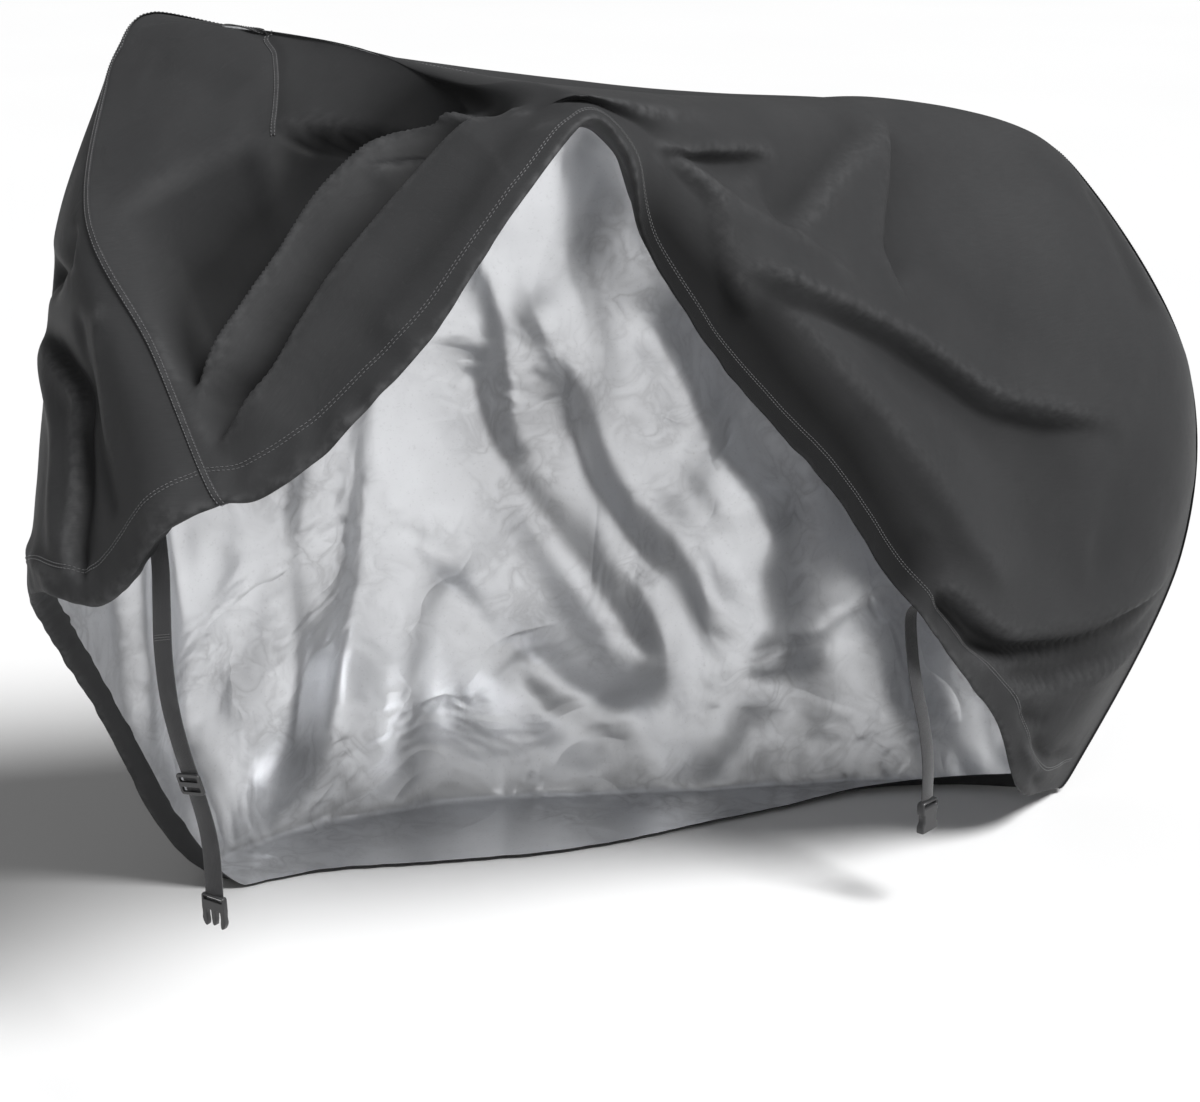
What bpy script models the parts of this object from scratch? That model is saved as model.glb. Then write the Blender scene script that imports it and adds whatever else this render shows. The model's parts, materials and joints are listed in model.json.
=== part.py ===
"""A bicycle cover: two cloth panels sewn along one seam, pulled up on the near side.

Units are metres, +Z is up, +X points to the rear of the cover and -Y to the near side.
The tables are measured from the floor. HELD_AT, the place under the top where the cover
is held up, becomes the part's origin.

The cover is built like a boat. A seam runs over the top from front to rear, and at each
row of the tables a rib hangs from that seam to each side: over a crest, down the wall and
round the hem. The front seam and the rear seam are the first and the last rib of both
panels. Folds are raised or sunk on the lofted walls afterwards.
"""

import math
from collections import namedtuple

import bmesh
import bpy
import numpy as np
from mathutils import Matrix, Vector

HELD_AT = (0.0, 0.10, 1.020)
CLOTH = 0.002          # thickness of a panel
SEAM_GAP = 0.0006      # clear space between the panels, and between a strap and its clip
FLOOR_CLEAR = 0.004    # middle of the cloth above the floor where it lies down
FAR_ROWS = 17          # faces from the top seam to the hem
NEAR_ROWS = 2 * FAR_ROWS

WEBBING_WIDTH = 0.025
WEBBING = 0.0022       # thickness of a strap
STRAP_STEPS = 18       # points along a strap
SLIDER_STEP = 12       # the strap point that the slider sits on
SEWN_LENGTH = 0.020    # how far a strap reaches up inside the hem
SLIDER = (0.034, 0.009, 0.024)     # across the strap, through it, along it
PRONG_BODY = (0.031, 0.009, 0.015)
PRONG_ARM = (0.0055, 0.0065, 0.023)
SOCKET = (0.034, 0.0115, 0.042)
SOCKET_MOUTH = (0.026, 0.0038, 0.024)
EDGE_ROUND = 0.0015

CLOTH_COLOUR = (0.035, 0.035, 0.037, 1.0)
WEBBING_COLOUR = (0.010, 0.010, 0.011, 1.0)
PLASTIC_COLOUR = (0.012, 0.012, 0.013, 1.0)

# Where the top seam passes each rib, and how many columns of faces follow the rib.
Top = namedtuple("Top", "rib x y z columns")
TOP_SEAM = [
    #    rib              x      y      z     columns
    Top("front seam",  -0.575, 0.334, 1.100, 6),
    Top("brow 1",      -0.562, 0.344, 1.112, 6),
    Top("brow 2",      -0.551, 0.349, 1.120, 6),
    Top("brow 3",      -0.538, 0.348, 1.126, 6),
    Top("brow 4",      -0.518, 0.338, 1.127, 5),
    Top("brow 5",      -0.466, 0.302, 1.115, 5),
    Top("brow 6",      -0.396, 0.256, 1.098, 4),
    Top("lifted hem",  -0.318, 0.210, 1.082, 4),
    Top("lap 1",       -0.235, 0.165, 1.065, 4),
    Top("lap 2",       -0.165, 0.142, 1.050, 4),
    Top("lap 3",       -0.075, 0.124, 1.033, 4),
    Top("side 1",       0.030, 0.110, 1.018, 4),
    Top("side 2",       0.130, 0.100, 1.008, 3),
    Top("hump",         0.235, 0.092, 1.003, 4),
    Top("tail 1",       0.330, 0.085, 0.999, 3),
    Top("tail 2",       0.400, 0.078, 0.992, 3),
    Top("tail 3",       0.460, 0.070, 0.980, 3),
    Top("rear seam",    0.520, 0.062, 0.962, 0),
]

# One side of a rib: the crest it bends over, the visible lower edge, the compass heading
# of its outer face in degrees from +X, how far the wall stands out a third and two thirds
# of the way down, and how far the hem turns in and up from the edge.
Side = namedtuple("Side", "crest edge heading chest waist tuck_in tuck_up")
FRONT_SEAM = Side((-0.618, 0.295, 1.058), (-0.766, -0.190, 0.723), 197, 0.074, 0.030, 0.030, -0.012)
REAR_SEAM = Side((0.672, 0.036, 0.900), (0.735, 0.015, 0.030), 0, 0.232, 0.190, 0.035, 0.004)

NEAR_SIDE = [
    #     crest                     edge                      heading chest waist  in    up
    FRONT_SEAM,
    Side((-0.538, 0.262, 1.112), (-0.738, -0.222, 0.732), 216, 0.040, 0.030, 0.030, -0.010),
    Side((-0.482, 0.150, 1.112), (-0.690, -0.258, 0.770), 218, 0.035, 0.034, 0.030, -0.006),
    Side((-0.452, 0.045, 1.109), (-0.645, -0.286, 0.822), 220, 0.030, 0.034, 0.032, 0.000),
    Side((-0.430, -0.055, 1.108), (-0.592, -0.312, 0.880), 223, 0.024, 0.030, 0.036, 0.006),
    Side((-0.412, -0.135, 1.106), (-0.545, -0.328, 0.948), 227, 0.018, 0.024, 0.044, 0.010),
    Side((-0.398, -0.200, 1.104), (-0.490, -0.334, 1.015), 235, 0.012, 0.016, 0.055, 0.012),
    Side((-0.384, -0.245, 1.102), (-0.412, -0.318, 1.078), 255, 0.006, 0.008, 0.070, -0.020),
    Side((-0.330, -0.236, 1.092), (-0.352, -0.304, 1.050), 268, 0.006, 0.008, 0.080, -0.050),
    Side((-0.232, -0.205, 1.077), (-0.276, -0.290, 0.930), 272, 0.010, 0.012, 0.075, -0.045),
    Side((-0.118, -0.158, 1.058), (-0.168, -0.276, 0.790), 273, 0.018, 0.022, 0.065, -0.030),
    Side((0.014, -0.108, 1.040), (-0.050, -0.252, 0.672), 274, 0.030, 0.030, 0.055, -0.020),
    Side((0.146, -0.062, 1.024), (0.062, -0.228, 0.574), 276, 0.045, 0.036, 0.050, -0.010),
    Side((0.276, -0.020, 1.010), (0.175, -0.205, 0.462), 280, 0.058, 0.042, 0.045, 0.000),
    Side((0.400, -0.010, 0.985), (0.292, -0.180, 0.345), 288, 0.072, 0.052, 0.045, 0.000),
    Side((0.520, -0.010, 0.955), (0.420, -0.138, 0.215), 303, 0.112, 0.090, 0.040, 0.004),
    Side((0.612, 0.002, 0.925), (0.555, -0.078, 0.085), 328, 0.178, 0.150, 0.038, 0.004),
    REAR_SEAM,
]

FAR_SIDE = [
    #     crest                     edge                      heading chest waist  in    up
    FRONT_SEAM,
    Side((-0.607, 0.322, 1.056), (-0.812, -0.150, 0.690), 192, 0.066, 0.030, 0.028, -0.010),
    Side((-0.592, 0.346, 1.058), (-0.832, -0.062, 0.598), 184, 0.056, 0.022, 0.026, -0.010),
    Side((-0.574, 0.368, 1.062), (-0.838, 0.060, 0.578), 172, 0.036, 0.016, 0.026, 0.004),
    Side((-0.553, 0.387, 1.066), (-0.790, 0.180, 0.520), 155, 0.022, 0.018, 0.026, 0.004),
    Side((-0.530, 0.400, 1.068), (-0.708, 0.290, 0.425), 132, 0.026, 0.022, 0.028, 0.004),
    Side((-0.504, 0.410, 1.068), (-0.610, 0.372, 0.285), 114, 0.030, 0.028, 0.030, 0.004),
    Side((-0.464, 0.418, 1.066), (-0.520, 0.428, 0.130), 102, 0.032, 0.034, 0.050, 0.000),
    Side((-0.396, 0.412, 1.058), (-0.425, 0.468, 0.034), 95, 0.032, 0.036, 0.085, -0.026),
    Side((-0.300, 0.388, 1.044), (-0.310, 0.494, 0.010), 92, 0.030, 0.032, 0.125, -0.004),
    Side((-0.175, 0.346, 1.026), (-0.165, 0.494, 0.010), 90, 0.028, 0.026, 0.190, -0.004),
    Side((-0.050, 0.308, 1.008), (-0.010, 0.462, 0.010), 86, 0.030, 0.022, 0.215, -0.004),
    Side((0.075, 0.274, 0.990), (0.120, 0.398, 0.010), 80, 0.036, 0.020, 0.180, -0.004),
    Side((0.202, 0.248, 0.975), (0.245, 0.332, 0.010), 72, 0.046, 0.024, 0.130, -0.004),
    Side((0.330, 0.222, 0.965), (0.372, 0.268, 0.010), 66, 0.062, 0.036, 0.085, -0.003),
    Side((0.455, 0.190, 0.950), (0.505, 0.212, 0.012), 56, 0.088, 0.062, 0.050, 0.000),
    Side((0.580, 0.128, 0.925), (0.635, 0.125, 0.020), 34, 0.150, 0.125, 0.038, 0.002),
    REAR_SEAM,
]

# How far down a rib, from the seam (0) to the hem's turned edge (1), each of its points is.
TOP_AT, CREST_AT, CHEST_AT, WAIST_AT, EDGE_AT, TUCK_AT = 0.0, 0.17, 0.38, 0.62, 0.88, 1.0

# A fold runs from one place on a panel to another. A place is a rib number and a share of
# the way down it. Bow bends the fold's middle down the rib, and a negative height is a trough.
Fold = namedtuple("Fold", "name start end bow width height")
NEAR_FOLDS = [
    #     name                     start         end           bow    width  height
    Fold("tension line",          (1.9, 0.30), (0.1, 0.47), 0.00, 0.030, -0.012),
    Fold("brow lap",              (1.7, 0.25), (5.6, 0.20), 0.00, 0.022, 0.012),
    Fold("under the brow lap",    (1.9, 0.31), (5.2, 0.27), 0.00, 0.016, -0.014),
    Fold("upper trough",          (4.6, 0.28), (0.5, 0.79), -0.04, 0.034, -0.042),
    Fold("middle ridge",          (5.4, 0.30), (0.5, 0.84), 0.00, 0.022, 0.024),
    Fold("lower trough",          (6.0, 0.36), (0.6, 0.87), -0.03, 0.028, -0.034),
    Fold("hem band ridge",        (6.6, 0.48), (1.0, 0.90), 0.00, 0.030, 0.018),
    Fold("lap ridge",             (8.4, 0.36), (10.8, 0.46), 0.00, 0.020, 0.016),
    Fold("under the lap",         (8.6, 0.44), (10.8, 0.51), 0.00, 0.018, -0.014),
    Fold("side ridge",            (10.6, 0.47), (15.6, 0.53), 0.00, 0.024, 0.014),
    Fold("under the side",        (10.8, 0.52), (15.2, 0.58), 0.00, 0.026, -0.010),
    Fold("hump ridge",            (13.3, 0.14), (12.0, 0.42), 0.00, 0.026, 0.009),
    Fold("rear tuck 1",           (13.6, 0.80), (16.9, 0.74), 0.03, 0.018, -0.016),
    Fold("rear tuck 1 lip",       (13.8, 0.77), (16.9, 0.70), 0.03, 0.016, 0.012),
    Fold("rear tuck 2",           (15.0, 0.86), (16.9, 0.81), 0.00, 0.014, -0.014),
    Fold("rear tuck 3",           (15.4, 0.93), (16.8, 0.90), 0.00, 0.014, -0.012),
]
FAR_FOLDS = [
    #     name                     start         end           bow    width  height
    Fold("front notch",           (3.8, 0.39), (0.8, 0.42), 0.00, 0.016, -0.018),
    Fold("flap crease",           (3.0, 0.47), (2.1, 0.90), 0.00, 0.014, -0.014),
    Fold("far hang 1",            (6.2, 0.22), (7.0, 0.84), 0.00, 0.040, -0.022),
    Fold("far hang 2",            (7.6, 0.20), (8.3, 0.84), 0.00, 0.038, 0.024),
    Fold("far hang 3",            (8.8, 0.24), (9.2, 0.84), 0.00, 0.040, -0.024),
    Fold("far hang 4",            (10.0, 0.20), (9.9, 0.84), 0.00, 0.036, 0.022),
    Fold("far hang 5",            (11.3, 0.24), (10.9, 0.84), 0.00, 0.038, -0.024),
    Fold("far hang 6",            (12.4, 0.20), (12.0, 0.84), 0.00, 0.034, 0.018),
    Fold("far hang 7",            (13.4, 0.24), (13.4, 0.84), 0.00, 0.036, -0.020),
    Fold("far tail sag",          (16.4, 0.62), (13.8, 0.74), 0.00, 0.030, 0.014),
]


# A strap is sewn inside a panel's turned hem and hangs from it: the rib where it is sewn, its
# space from the hem's inner edge, then the places that its middle passes down to its free end.
Strap = namedtuple("Strap", "name panel rib clear places")
STRAPS = [
    Strap("front_strap", "far_panel", 1.33, 0.0005, [
        (-0.7895, -0.1205, 0.628), (-0.793, -0.127, 0.592), (-0.801, -0.143, 0.545),
        (-0.803, -0.158, 0.495), (-0.796, -0.169, 0.445), (-0.783, -0.176, 0.395),
        (-0.773, -0.180, 0.345), (-0.769, -0.180, 0.285),
    ]),
    Strap("rear_strap", "near_panel", 13.75, 0.0028, [
        (0.2540, -0.1425, 0.345), (0.2550, -0.1535, 0.300), (0.259, -0.165, 0.255),
        (0.263, -0.172, 0.205), (0.264, -0.173, 0.155),
    ]),
]


def smooth_row(points, at):
    """Points along a smooth curve through points (k, ..., 3), at places counted in points."""
    points = np.asarray(points, float)
    last = len(points) - 1
    index = np.clip(np.floor(at).astype(int), 0, last - 1)
    t = (at - index).reshape((-1,) + (1,) * (points.ndim - 1))
    before, after = np.maximum(index - 1, 0), np.minimum(index + 2, last)
    a, b, c, d = points[before], points[index], points[index + 1], points[after]
    slope_b = np.where((index == 0).reshape(t.shape), c - b, (c - a) / 2)
    slope_c = np.where((index + 1 == last).reshape(t.shape), c - b, (d - b) / 2)
    return (
        (2 * t**3 - 3 * t**2 + 1) * b
        + (t**3 - 2 * t**2 + t) * slope_b
        + (3 * t**2 - 2 * t**3) * c
        + (t**3 - t**2) * slope_c
    )


def rib_points(top, side):
    """The six points that one side of a rib passes through, from the seam to the hem."""
    crest, edge = Vector(side.crest), Vector(side.edge)
    out = Vector((math.cos(math.radians(side.heading)), math.sin(math.radians(side.heading)), 0.0))
    chest = crest.lerp(edge, 1 / 3) + out * side.chest
    waist = crest.lerp(edge, 2 / 3) + out * side.waist
    tuck = edge - out * side.tuck_in + Vector((0.0, 0.0, side.tuck_up))
    return [(top.x, top.y, top.z), crest[:], chest[:], waist[:], edge[:], tuck[:]]


def rib_places():
    """Where each column of faces stands, counted in ribs."""
    places = [0.0]
    for rib, top in enumerate(TOP_SEAM[:-1]):
        places += [rib + (step + 1) / top.columns for step in range(top.columns)]
    return np.array(places)


def row_places(rows):
    """Where each row of faces stands, counted in the six points of a rib."""
    share = np.linspace(0.0, 1.0, rows + 1)
    return np.interp(share, [TOP_AT, CREST_AT, CHEST_AT, WAIST_AT, EDGE_AT, TUCK_AT], range(6))


def side_surface(sides, columns, rows):
    """The smooth middle surface of one panel, as an array (columns, rows, 3)."""
    net = np.array([rib_points(top, side) for top, side in zip(TOP_SEAM, sides)])
    along = smooth_row(net, columns)
    surface = smooth_row(along.transpose(1, 0, 2), rows).transpose(1, 0, 2)
    surface[..., 2] = np.maximum(surface[..., 2], FLOOR_CLEAR)
    return surface


def face_normals(grid):
    """Unit normals of a grid of points, one for each point."""
    across = np.gradient(grid, axis=0)
    down = np.gradient(grid, axis=1)
    normals = np.cross(across, down)
    return normals / np.maximum(np.linalg.norm(normals, axis=2, keepdims=True), 1e-12)


def fold_route(sides, fold, steps=28):
    """The fold's own path on the smooth surface, and how strong it is along that path."""
    share = np.linspace(0.0, 1.0, steps)
    ribs = fold.start[0] + (fold.end[0] - fold.start[0]) * share
    down = fold.start[1] + (fold.end[1] - fold.start[1]) * share
    down = down + fold.bow * np.sin(math.pi * share)
    rows = np.interp(down, [TOP_AT, CREST_AT, CHEST_AT, WAIST_AT, EDGE_AT, TUCK_AT], range(6))
    net = np.array([rib_points(top, side) for top, side in zip(TOP_SEAM, sides)])
    along = smooth_row(net, ribs)
    route = np.array([smooth_row(along[i], rows[i : i + 1])[0] for i in range(steps)])
    strength = np.clip(np.minimum(share, 1 - share) / 0.18, 0.0, 1.0)
    return route, strength * strength * (3 - 2 * strength)


def folded(grid, normals, sides, folds, hold):
    """The grid with its folds raised or sunk along the normals; hold is 0 where seams stay put."""
    lift = np.zeros(grid.shape[:2])
    for fold in folds:
        route, strength = fold_route(sides, fold)
        best = np.full(grid.shape[:2], np.inf)
        power = np.zeros(grid.shape[:2])
        for a, b, at_a, at_b in zip(route, route[1:], strength, strength[1:]):
            run = b - a
            t = np.clip(((grid - a) @ run) / max(run @ run, 1e-12), 0.0, 1.0)
            away = np.linalg.norm(grid - (a + t[..., None] * run), axis=2)
            nearer = away < best
            best = np.where(nearer, away, best)
            power = np.where(nearer, at_a + (at_b - at_a) * t, power)
        lift += fold.height * power * np.exp(-((best / fold.width) ** 2))
    return grid + normals * (lift * hold)[..., None]


def edge_hold(columns, rows):
    """1 over the panel, falling to 0 at the seams so that both panels keep one edge."""
    from_front = np.clip(np.minimum(columns, columns[-1] - columns) / 0.8, 0.0, 1.0)
    from_top = np.clip(rows / 0.8, 0.0, 1.0)
    hold = from_front[:, None] * from_top[None, :]
    return hold * hold * (3 - 2 * hold)


def seam_of(grid):
    """The seam edge of a panel as one line: up the rear seam, over the top and down the front."""
    return np.concatenate([grid[-1, :0:-1], grid[:, 0][::-1], grid[0, 1:]])


def set_seam(grid, line):
    """Puts a line from seam_of back on the edge of a panel."""
    down = grid.shape[1] - 1
    grid[-1, :0:-1], grid[:, 0], grid[0, 1:] = line[:down], line[down:-down][::-1], line[-down:]


def fine_seam(line, rows):
    """A far seam line with one more point inside each row's step, for the finer near panel."""
    rear, top, front = line[: rows + 1], line[rows : len(line) - rows], line[-rows - 1 :]
    return np.concatenate([halved_steps(rear)[:-1], top, halved_steps(front)[1:]])


def halved_steps(run):
    """A line with the middle of every step added."""
    finer = np.repeat(run, 2, axis=0)[:-1]
    finer[1::2] = (run[:-1] + run[1:]) / 2
    return finer


def seam_frames(near_normals, far_normals, line):
    """For each point of the far seam line: the shared normal, and the direction across the seam."""
    near_line = seam_of(near_normals)
    down = far_normals.shape[1] - 1
    both = seam_of(far_normals).copy()
    both[:down] += near_line[: 2 * down : 2]
    both[down:-down] += near_line[2 * down : -2 * down]
    both[-down:] += near_line[-2 * down + 1 :: 2]
    both /= np.maximum(np.linalg.norm(both, axis=1, keepdims=True), 1e-9)
    along = np.gradient(line, axis=0)
    across = np.cross(along, both)
    return both, across / np.maximum(np.linalg.norm(across, axis=1, keepdims=True), 1e-9)


def panel_object(name, grid, normals, material):
    """A closed sheet of even thickness about the grid, with its faces pointing out."""
    outer = grid + normals * CLOTH / 2
    inner = grid - normals * CLOTH / 2
    count_u, count_v = grid.shape[:2]
    mesh = bpy.data.meshes.new(name)
    shape = bmesh.new()
    origin = np.array(HELD_AT)
    skins = [
        [[shape.verts.new(skin[i, j] - origin) for j in range(count_v)] for i in range(count_u)]
        for skin in (outer, inner)
    ]
    for i in range(count_u - 1):
        for j in range(count_v - 1):
            a, b, c, d = (i, j), (i + 1, j), (i + 1, j + 1), (i, j + 1)
            halves = ((a, b, c), (a, c, d)) if i == j == 0 else ((a, b, d), (b, c, d))
            for corners in halves:
                shape.faces.new([skins[0][a][b] for a, b in corners])
                shape.faces.new([skins[1][a][b] for a, b in reversed(corners)])
    rim = [(i, 0) for i in range(count_u)]
    rim += [(count_u - 1, j) for j in range(1, count_v)]
    rim += [(i, count_v - 1) for i in range(count_u - 2, -1, -1)]
    rim += [(0, j) for j in range(count_v - 2, 0, -1)]
    for (a, b), (c, d) in zip(rim, rim[1:] + rim[:1]):
        shape.faces.new((skins[0][c][d], skins[0][a][b], skins[1][a][b], skins[1][c][d]))
    bmesh.ops.recalc_face_normals(shape, faces=shape.faces)
    shape.to_mesh(mesh)
    shape.free()
    mesh.shade_smooth()
    mesh.materials.append(material)
    panel = bpy.data.objects.new(name, mesh)
    bpy.context.scene.collection.objects.link(panel)
    return panel


def plain_material(name, colour, roughness):
    material = bpy.data.materials.new(name)
    material.use_nodes = True
    shader = material.node_tree.nodes["Principled BSDF"]
    shader.inputs["Base Color"].default_value = colour
    shader.inputs["Roughness"].default_value = roughness
    return material


def build_panels(cloth):
    """Both panels. Returns each one's middle surface, for what is sewn to it."""
    columns = rib_places()
    near_rows, far_rows = row_places(NEAR_ROWS), row_places(FAR_ROWS)
    near = side_surface(NEAR_SIDE, columns, near_rows)
    far = side_surface(FAR_SIDE, columns, far_rows)
    near = folded(near, -face_normals(near), NEAR_SIDE, NEAR_FOLDS, edge_hold(columns, near_rows))
    far = folded(far, face_normals(far), FAR_SIDE, FAR_FOLDS, edge_hold(columns, far_rows))
    near_normals, far_normals = -face_normals(near), face_normals(far)
    line = seam_of(far)
    normals, across = seam_frames(near_normals, far_normals, line)
    for grid, panel_normals, side, fine in (
        (far, far_normals, 0.5, lambda line: line),
        (near, near_normals, -0.5, lambda line: fine_seam(line, FAR_ROWS)),
    ):
        set_seam(grid, fine(line + across * side * SEAM_GAP))
        set_seam(panel_normals, fine(normals))
    panel_object("near_panel", near, near_normals, cloth)
    panel_object("far_panel", far, far_normals, cloth)
    return {
        "near_panel": (near, columns),
        "far_panel": (far, columns),
    }


def sewn_place(panel, strap):
    """Where a strap's top end lies against the hem's inner edge, and the direction across it."""
    grid, columns = panel
    column = int(np.argmin(np.abs(columns - strap.rib)))
    across = Vector(grid[column + 1, -1] - grid[column - 1, -1])
    across.z = 0.0
    across.normalize()
    inward = Vector((-across.y, across.x, 0.0))
    if inward.dot(Vector(grid[column, -1] - grid[column, -2])) < 0.0:
        inward.negate()
    point = Vector(grid[column, -1]) + inward * (WEBBING / 2 + strap.clear)
    return point + Vector((0.0, 0.0, SEWN_LENGTH)), across


def strap_frames(start, along, places):
    """Along the strap: its middle, the direction across it and the direction it faces."""
    route = np.array([start[:]] + list(places))
    middle = smooth_row(route, np.linspace(0.0, len(route) - 1.0, STRAP_STEPS))
    frames = []
    for i, point in enumerate(middle):
        ahead = Vector(middle[min(i + 1, STRAP_STEPS - 1)] - middle[max(i - 1, 0)]).normalized()
        across = (along - ahead * along.dot(ahead)).normalized()
        frames.append((Vector(point), across, ahead.cross(across), ahead))
    return frames


def strap_object(name, frames, material):
    """Flat webbing along the frames, closed at both ends."""
    mesh = bpy.data.meshes.new(name)
    shape = bmesh.new()
    corners = ((-1, -1), (1, -1), (1, 1), (-1, 1))
    rings = []
    for point, across, face, _ahead in frames:
        rings.append([
            shape.verts.new(point - Vector(HELD_AT) + across * a * WEBBING_WIDTH / 2 + face * b * WEBBING / 2)
            for a, b in corners
        ])
    for one, two in zip(rings, rings[1:]):
        for k in range(4):
            shape.faces.new((one[k], one[(k + 1) % 4], two[(k + 1) % 4], two[k]))
    shape.faces.new(rings[0])
    shape.faces.new(rings[-1])
    bmesh.ops.recalc_face_normals(shape, faces=shape.faces)
    shape.to_mesh(mesh)
    shape.free()
    mesh.materials.append(material)
    strap = bpy.data.objects.new(name, mesh)
    bpy.context.scene.collection.objects.link(strap)
    return strap


def block(name, size, matrix, material=None, offset=(0.0, 0.0, 0.0)):
    """A box of this size (across the strap, through it, along it) in the strap's own frame."""
    mesh = bpy.data.meshes.new(name)
    shape = bmesh.new()
    bmesh.ops.create_cube(shape, size=1.0)
    bmesh.ops.scale(shape, vec=size, verts=shape.verts)
    bmesh.ops.translate(shape, vec=offset, verts=shape.verts)
    shape.to_mesh(mesh)
    shape.free()
    if material:
        mesh.materials.append(material)
    piece = bpy.data.objects.new(name, mesh)
    bpy.context.scene.collection.objects.link(piece)
    piece.matrix_world = matrix
    return piece


def cutter(name, size, matrix, offset=(0.0, 0.0, 0.0)):
    piece = block(name, size, matrix, offset=offset)
    piece.hide_render = True
    piece.display_type = "WIRE"
    return piece


def combine(piece, other, operation):
    step = piece.modifiers.new(other.name, "BOOLEAN")
    step.operation = operation
    step.object = other


def rounded(piece):
    bevel = piece.modifiers.new("rounded edges", "BEVEL")
    bevel.width = EDGE_ROUND
    bevel.segments = 2
    bevel.limit_method = "ANGLE"


def frame_matrix(frame, along=0.0):
    """A matrix at a strap frame, moved along the strap: X across, Y its face, Z back to the hem."""
    point, across, face, ahead = frame
    place = point - Vector(HELD_AT) + ahead * along
    columns = [across[:] + (0.0,), face[:] + (0.0,), (-ahead)[:] + (0.0,), place[:] + (1.0,)]
    turned = [[columns[c][r] for c in range(4)] for r in range(4)]
    return Matrix(turned)


def build_slider(frames, material):
    """The frame that the front strap runs through, two thirds of the way down it."""
    matrix = frame_matrix(frames[SLIDER_STEP])
    slider = block("front_slider", SLIDER, matrix, material)
    rounded(slider)
    slot = (WEBBING_WIDTH + 0.0016, WEBBING + 0.0016, 2 * SLIDER[2])
    combine(slider, cutter("slider slot", slot, matrix), "DIFFERENCE")


def build_prong(frames, material):
    """The clip's pronged half on the front strap's end: a body, two arms and a tongue."""
    matrix = frame_matrix(frames[-1], SEAM_GAP + PRONG_BODY[2] / 2)
    prong = block("front_prong", PRONG_BODY, matrix, material)
    reach = -(PRONG_BODY[2] + PRONG_ARM[2]) / 2 + 0.002
    side = (PRONG_BODY[0] - PRONG_ARM[0]) / 2
    for name, across in (("left arm", -side), ("right arm", side), ("tongue", 0.0)):
        arm = cutter(name, PRONG_ARM, matrix, offset=(across, 0.0, reach))
        combine(prong, arm, "UNION")
    rounded(prong)


def build_socket(frames, material):
    """The clip's socket half on the rear strap's end, open at the bottom."""
    matrix = frame_matrix(frames[-1], SEAM_GAP + SOCKET[2] / 2)
    socket = block("rear_socket", SOCKET, matrix, material)
    rounded(socket)
    mouth = cutter("socket mouth", SOCKET_MOUTH, matrix, offset=(0.0, 0.0, -SOCKET[2] / 2))
    combine(socket, mouth, "DIFFERENCE")


def main():
    for old in list(bpy.data.objects):
        bpy.data.objects.remove(old)
    cloth = plain_material("charcoal polyester", CLOTH_COLOUR, 0.62)
    webbing = plain_material("black webbing", WEBBING_COLOUR, 0.75)
    plastic = plain_material("black plastic", PLASTIC_COLOUR, 0.4)
    panels = build_panels(cloth)
    frames = {}
    for strap in STRAPS:
        start, along = sewn_place(panels[strap.panel], strap)
        frames[strap.name] = strap_frames(start, along, strap.places)
        strap_object(strap.name, frames[strap.name], webbing)
    build_slider(frames["front_strap"], plastic)
    build_prong(frames["front_strap"], plastic)
    build_socket(frames["rear_strap"], plastic)


main()
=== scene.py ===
# %% [markdown]
# # A bicycle cover, cell by cell
#
# The cover is one bag of thin woven polyester, charcoal outside and silver-coated inside.
# It has been drawn over something tall and its near side has been pulled up, so the hem
# climbs to a peak and hangs down again. Everything is in metres, +Z is up, +X points to the
# rear of the cover and -Y to the near side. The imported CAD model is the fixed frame. This
# file adds what a closer look asks for, and says where it leaves the model's surfaces.

# %% Load the frame and keep its box
import json
import math
from collections import namedtuple

import bmesh
import bpy
import numpy as np
from mathutils import Matrix, Vector

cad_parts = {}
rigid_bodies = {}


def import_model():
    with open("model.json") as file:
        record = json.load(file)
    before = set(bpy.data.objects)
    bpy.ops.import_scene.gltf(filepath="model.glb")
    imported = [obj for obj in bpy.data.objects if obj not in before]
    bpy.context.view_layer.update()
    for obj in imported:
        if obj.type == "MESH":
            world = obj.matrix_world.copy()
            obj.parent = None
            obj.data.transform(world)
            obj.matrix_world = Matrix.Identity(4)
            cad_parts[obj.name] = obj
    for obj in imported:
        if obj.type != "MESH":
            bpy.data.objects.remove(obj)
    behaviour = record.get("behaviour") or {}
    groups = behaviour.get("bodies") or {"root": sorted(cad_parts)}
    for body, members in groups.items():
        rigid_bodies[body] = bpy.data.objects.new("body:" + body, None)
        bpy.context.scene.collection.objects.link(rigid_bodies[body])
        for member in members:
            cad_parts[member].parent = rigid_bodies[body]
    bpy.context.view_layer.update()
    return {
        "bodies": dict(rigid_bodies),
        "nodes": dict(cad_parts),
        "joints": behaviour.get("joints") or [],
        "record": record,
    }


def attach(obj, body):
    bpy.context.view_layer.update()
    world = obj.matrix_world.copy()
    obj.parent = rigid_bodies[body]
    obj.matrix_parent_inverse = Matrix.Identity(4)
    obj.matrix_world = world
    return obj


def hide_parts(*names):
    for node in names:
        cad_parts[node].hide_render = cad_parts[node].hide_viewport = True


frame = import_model()
HELD_AT = np.array((0.0, 0.10, 1.020))  # the part's origin, measured from the floor
FLOOR_Z = -float(HELD_AT[2])
print("nodes:", ", ".join(sorted(frame["nodes"])))

# %% [markdown]
# ## Camera
#
# A camera can be guessed or worked out. Here it was worked out from round things in the
# picture that were taken to have a common size, which gives where it stood, how far it was
# turned, dipped and rolled, and its lens. A long lens of 83 mm keeps the cover's far end
# nearly as large as its near end.

# %% Place the camera
CAMERA_AT = np.array((-2.068, -2.521, 1.466)) - HELD_AT
TURN, DIP, ROLL = 0.654, 0.293, 0.020  # radians: from +Y to +X, below the horizon, clockwise
LENS = 83.2

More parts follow.
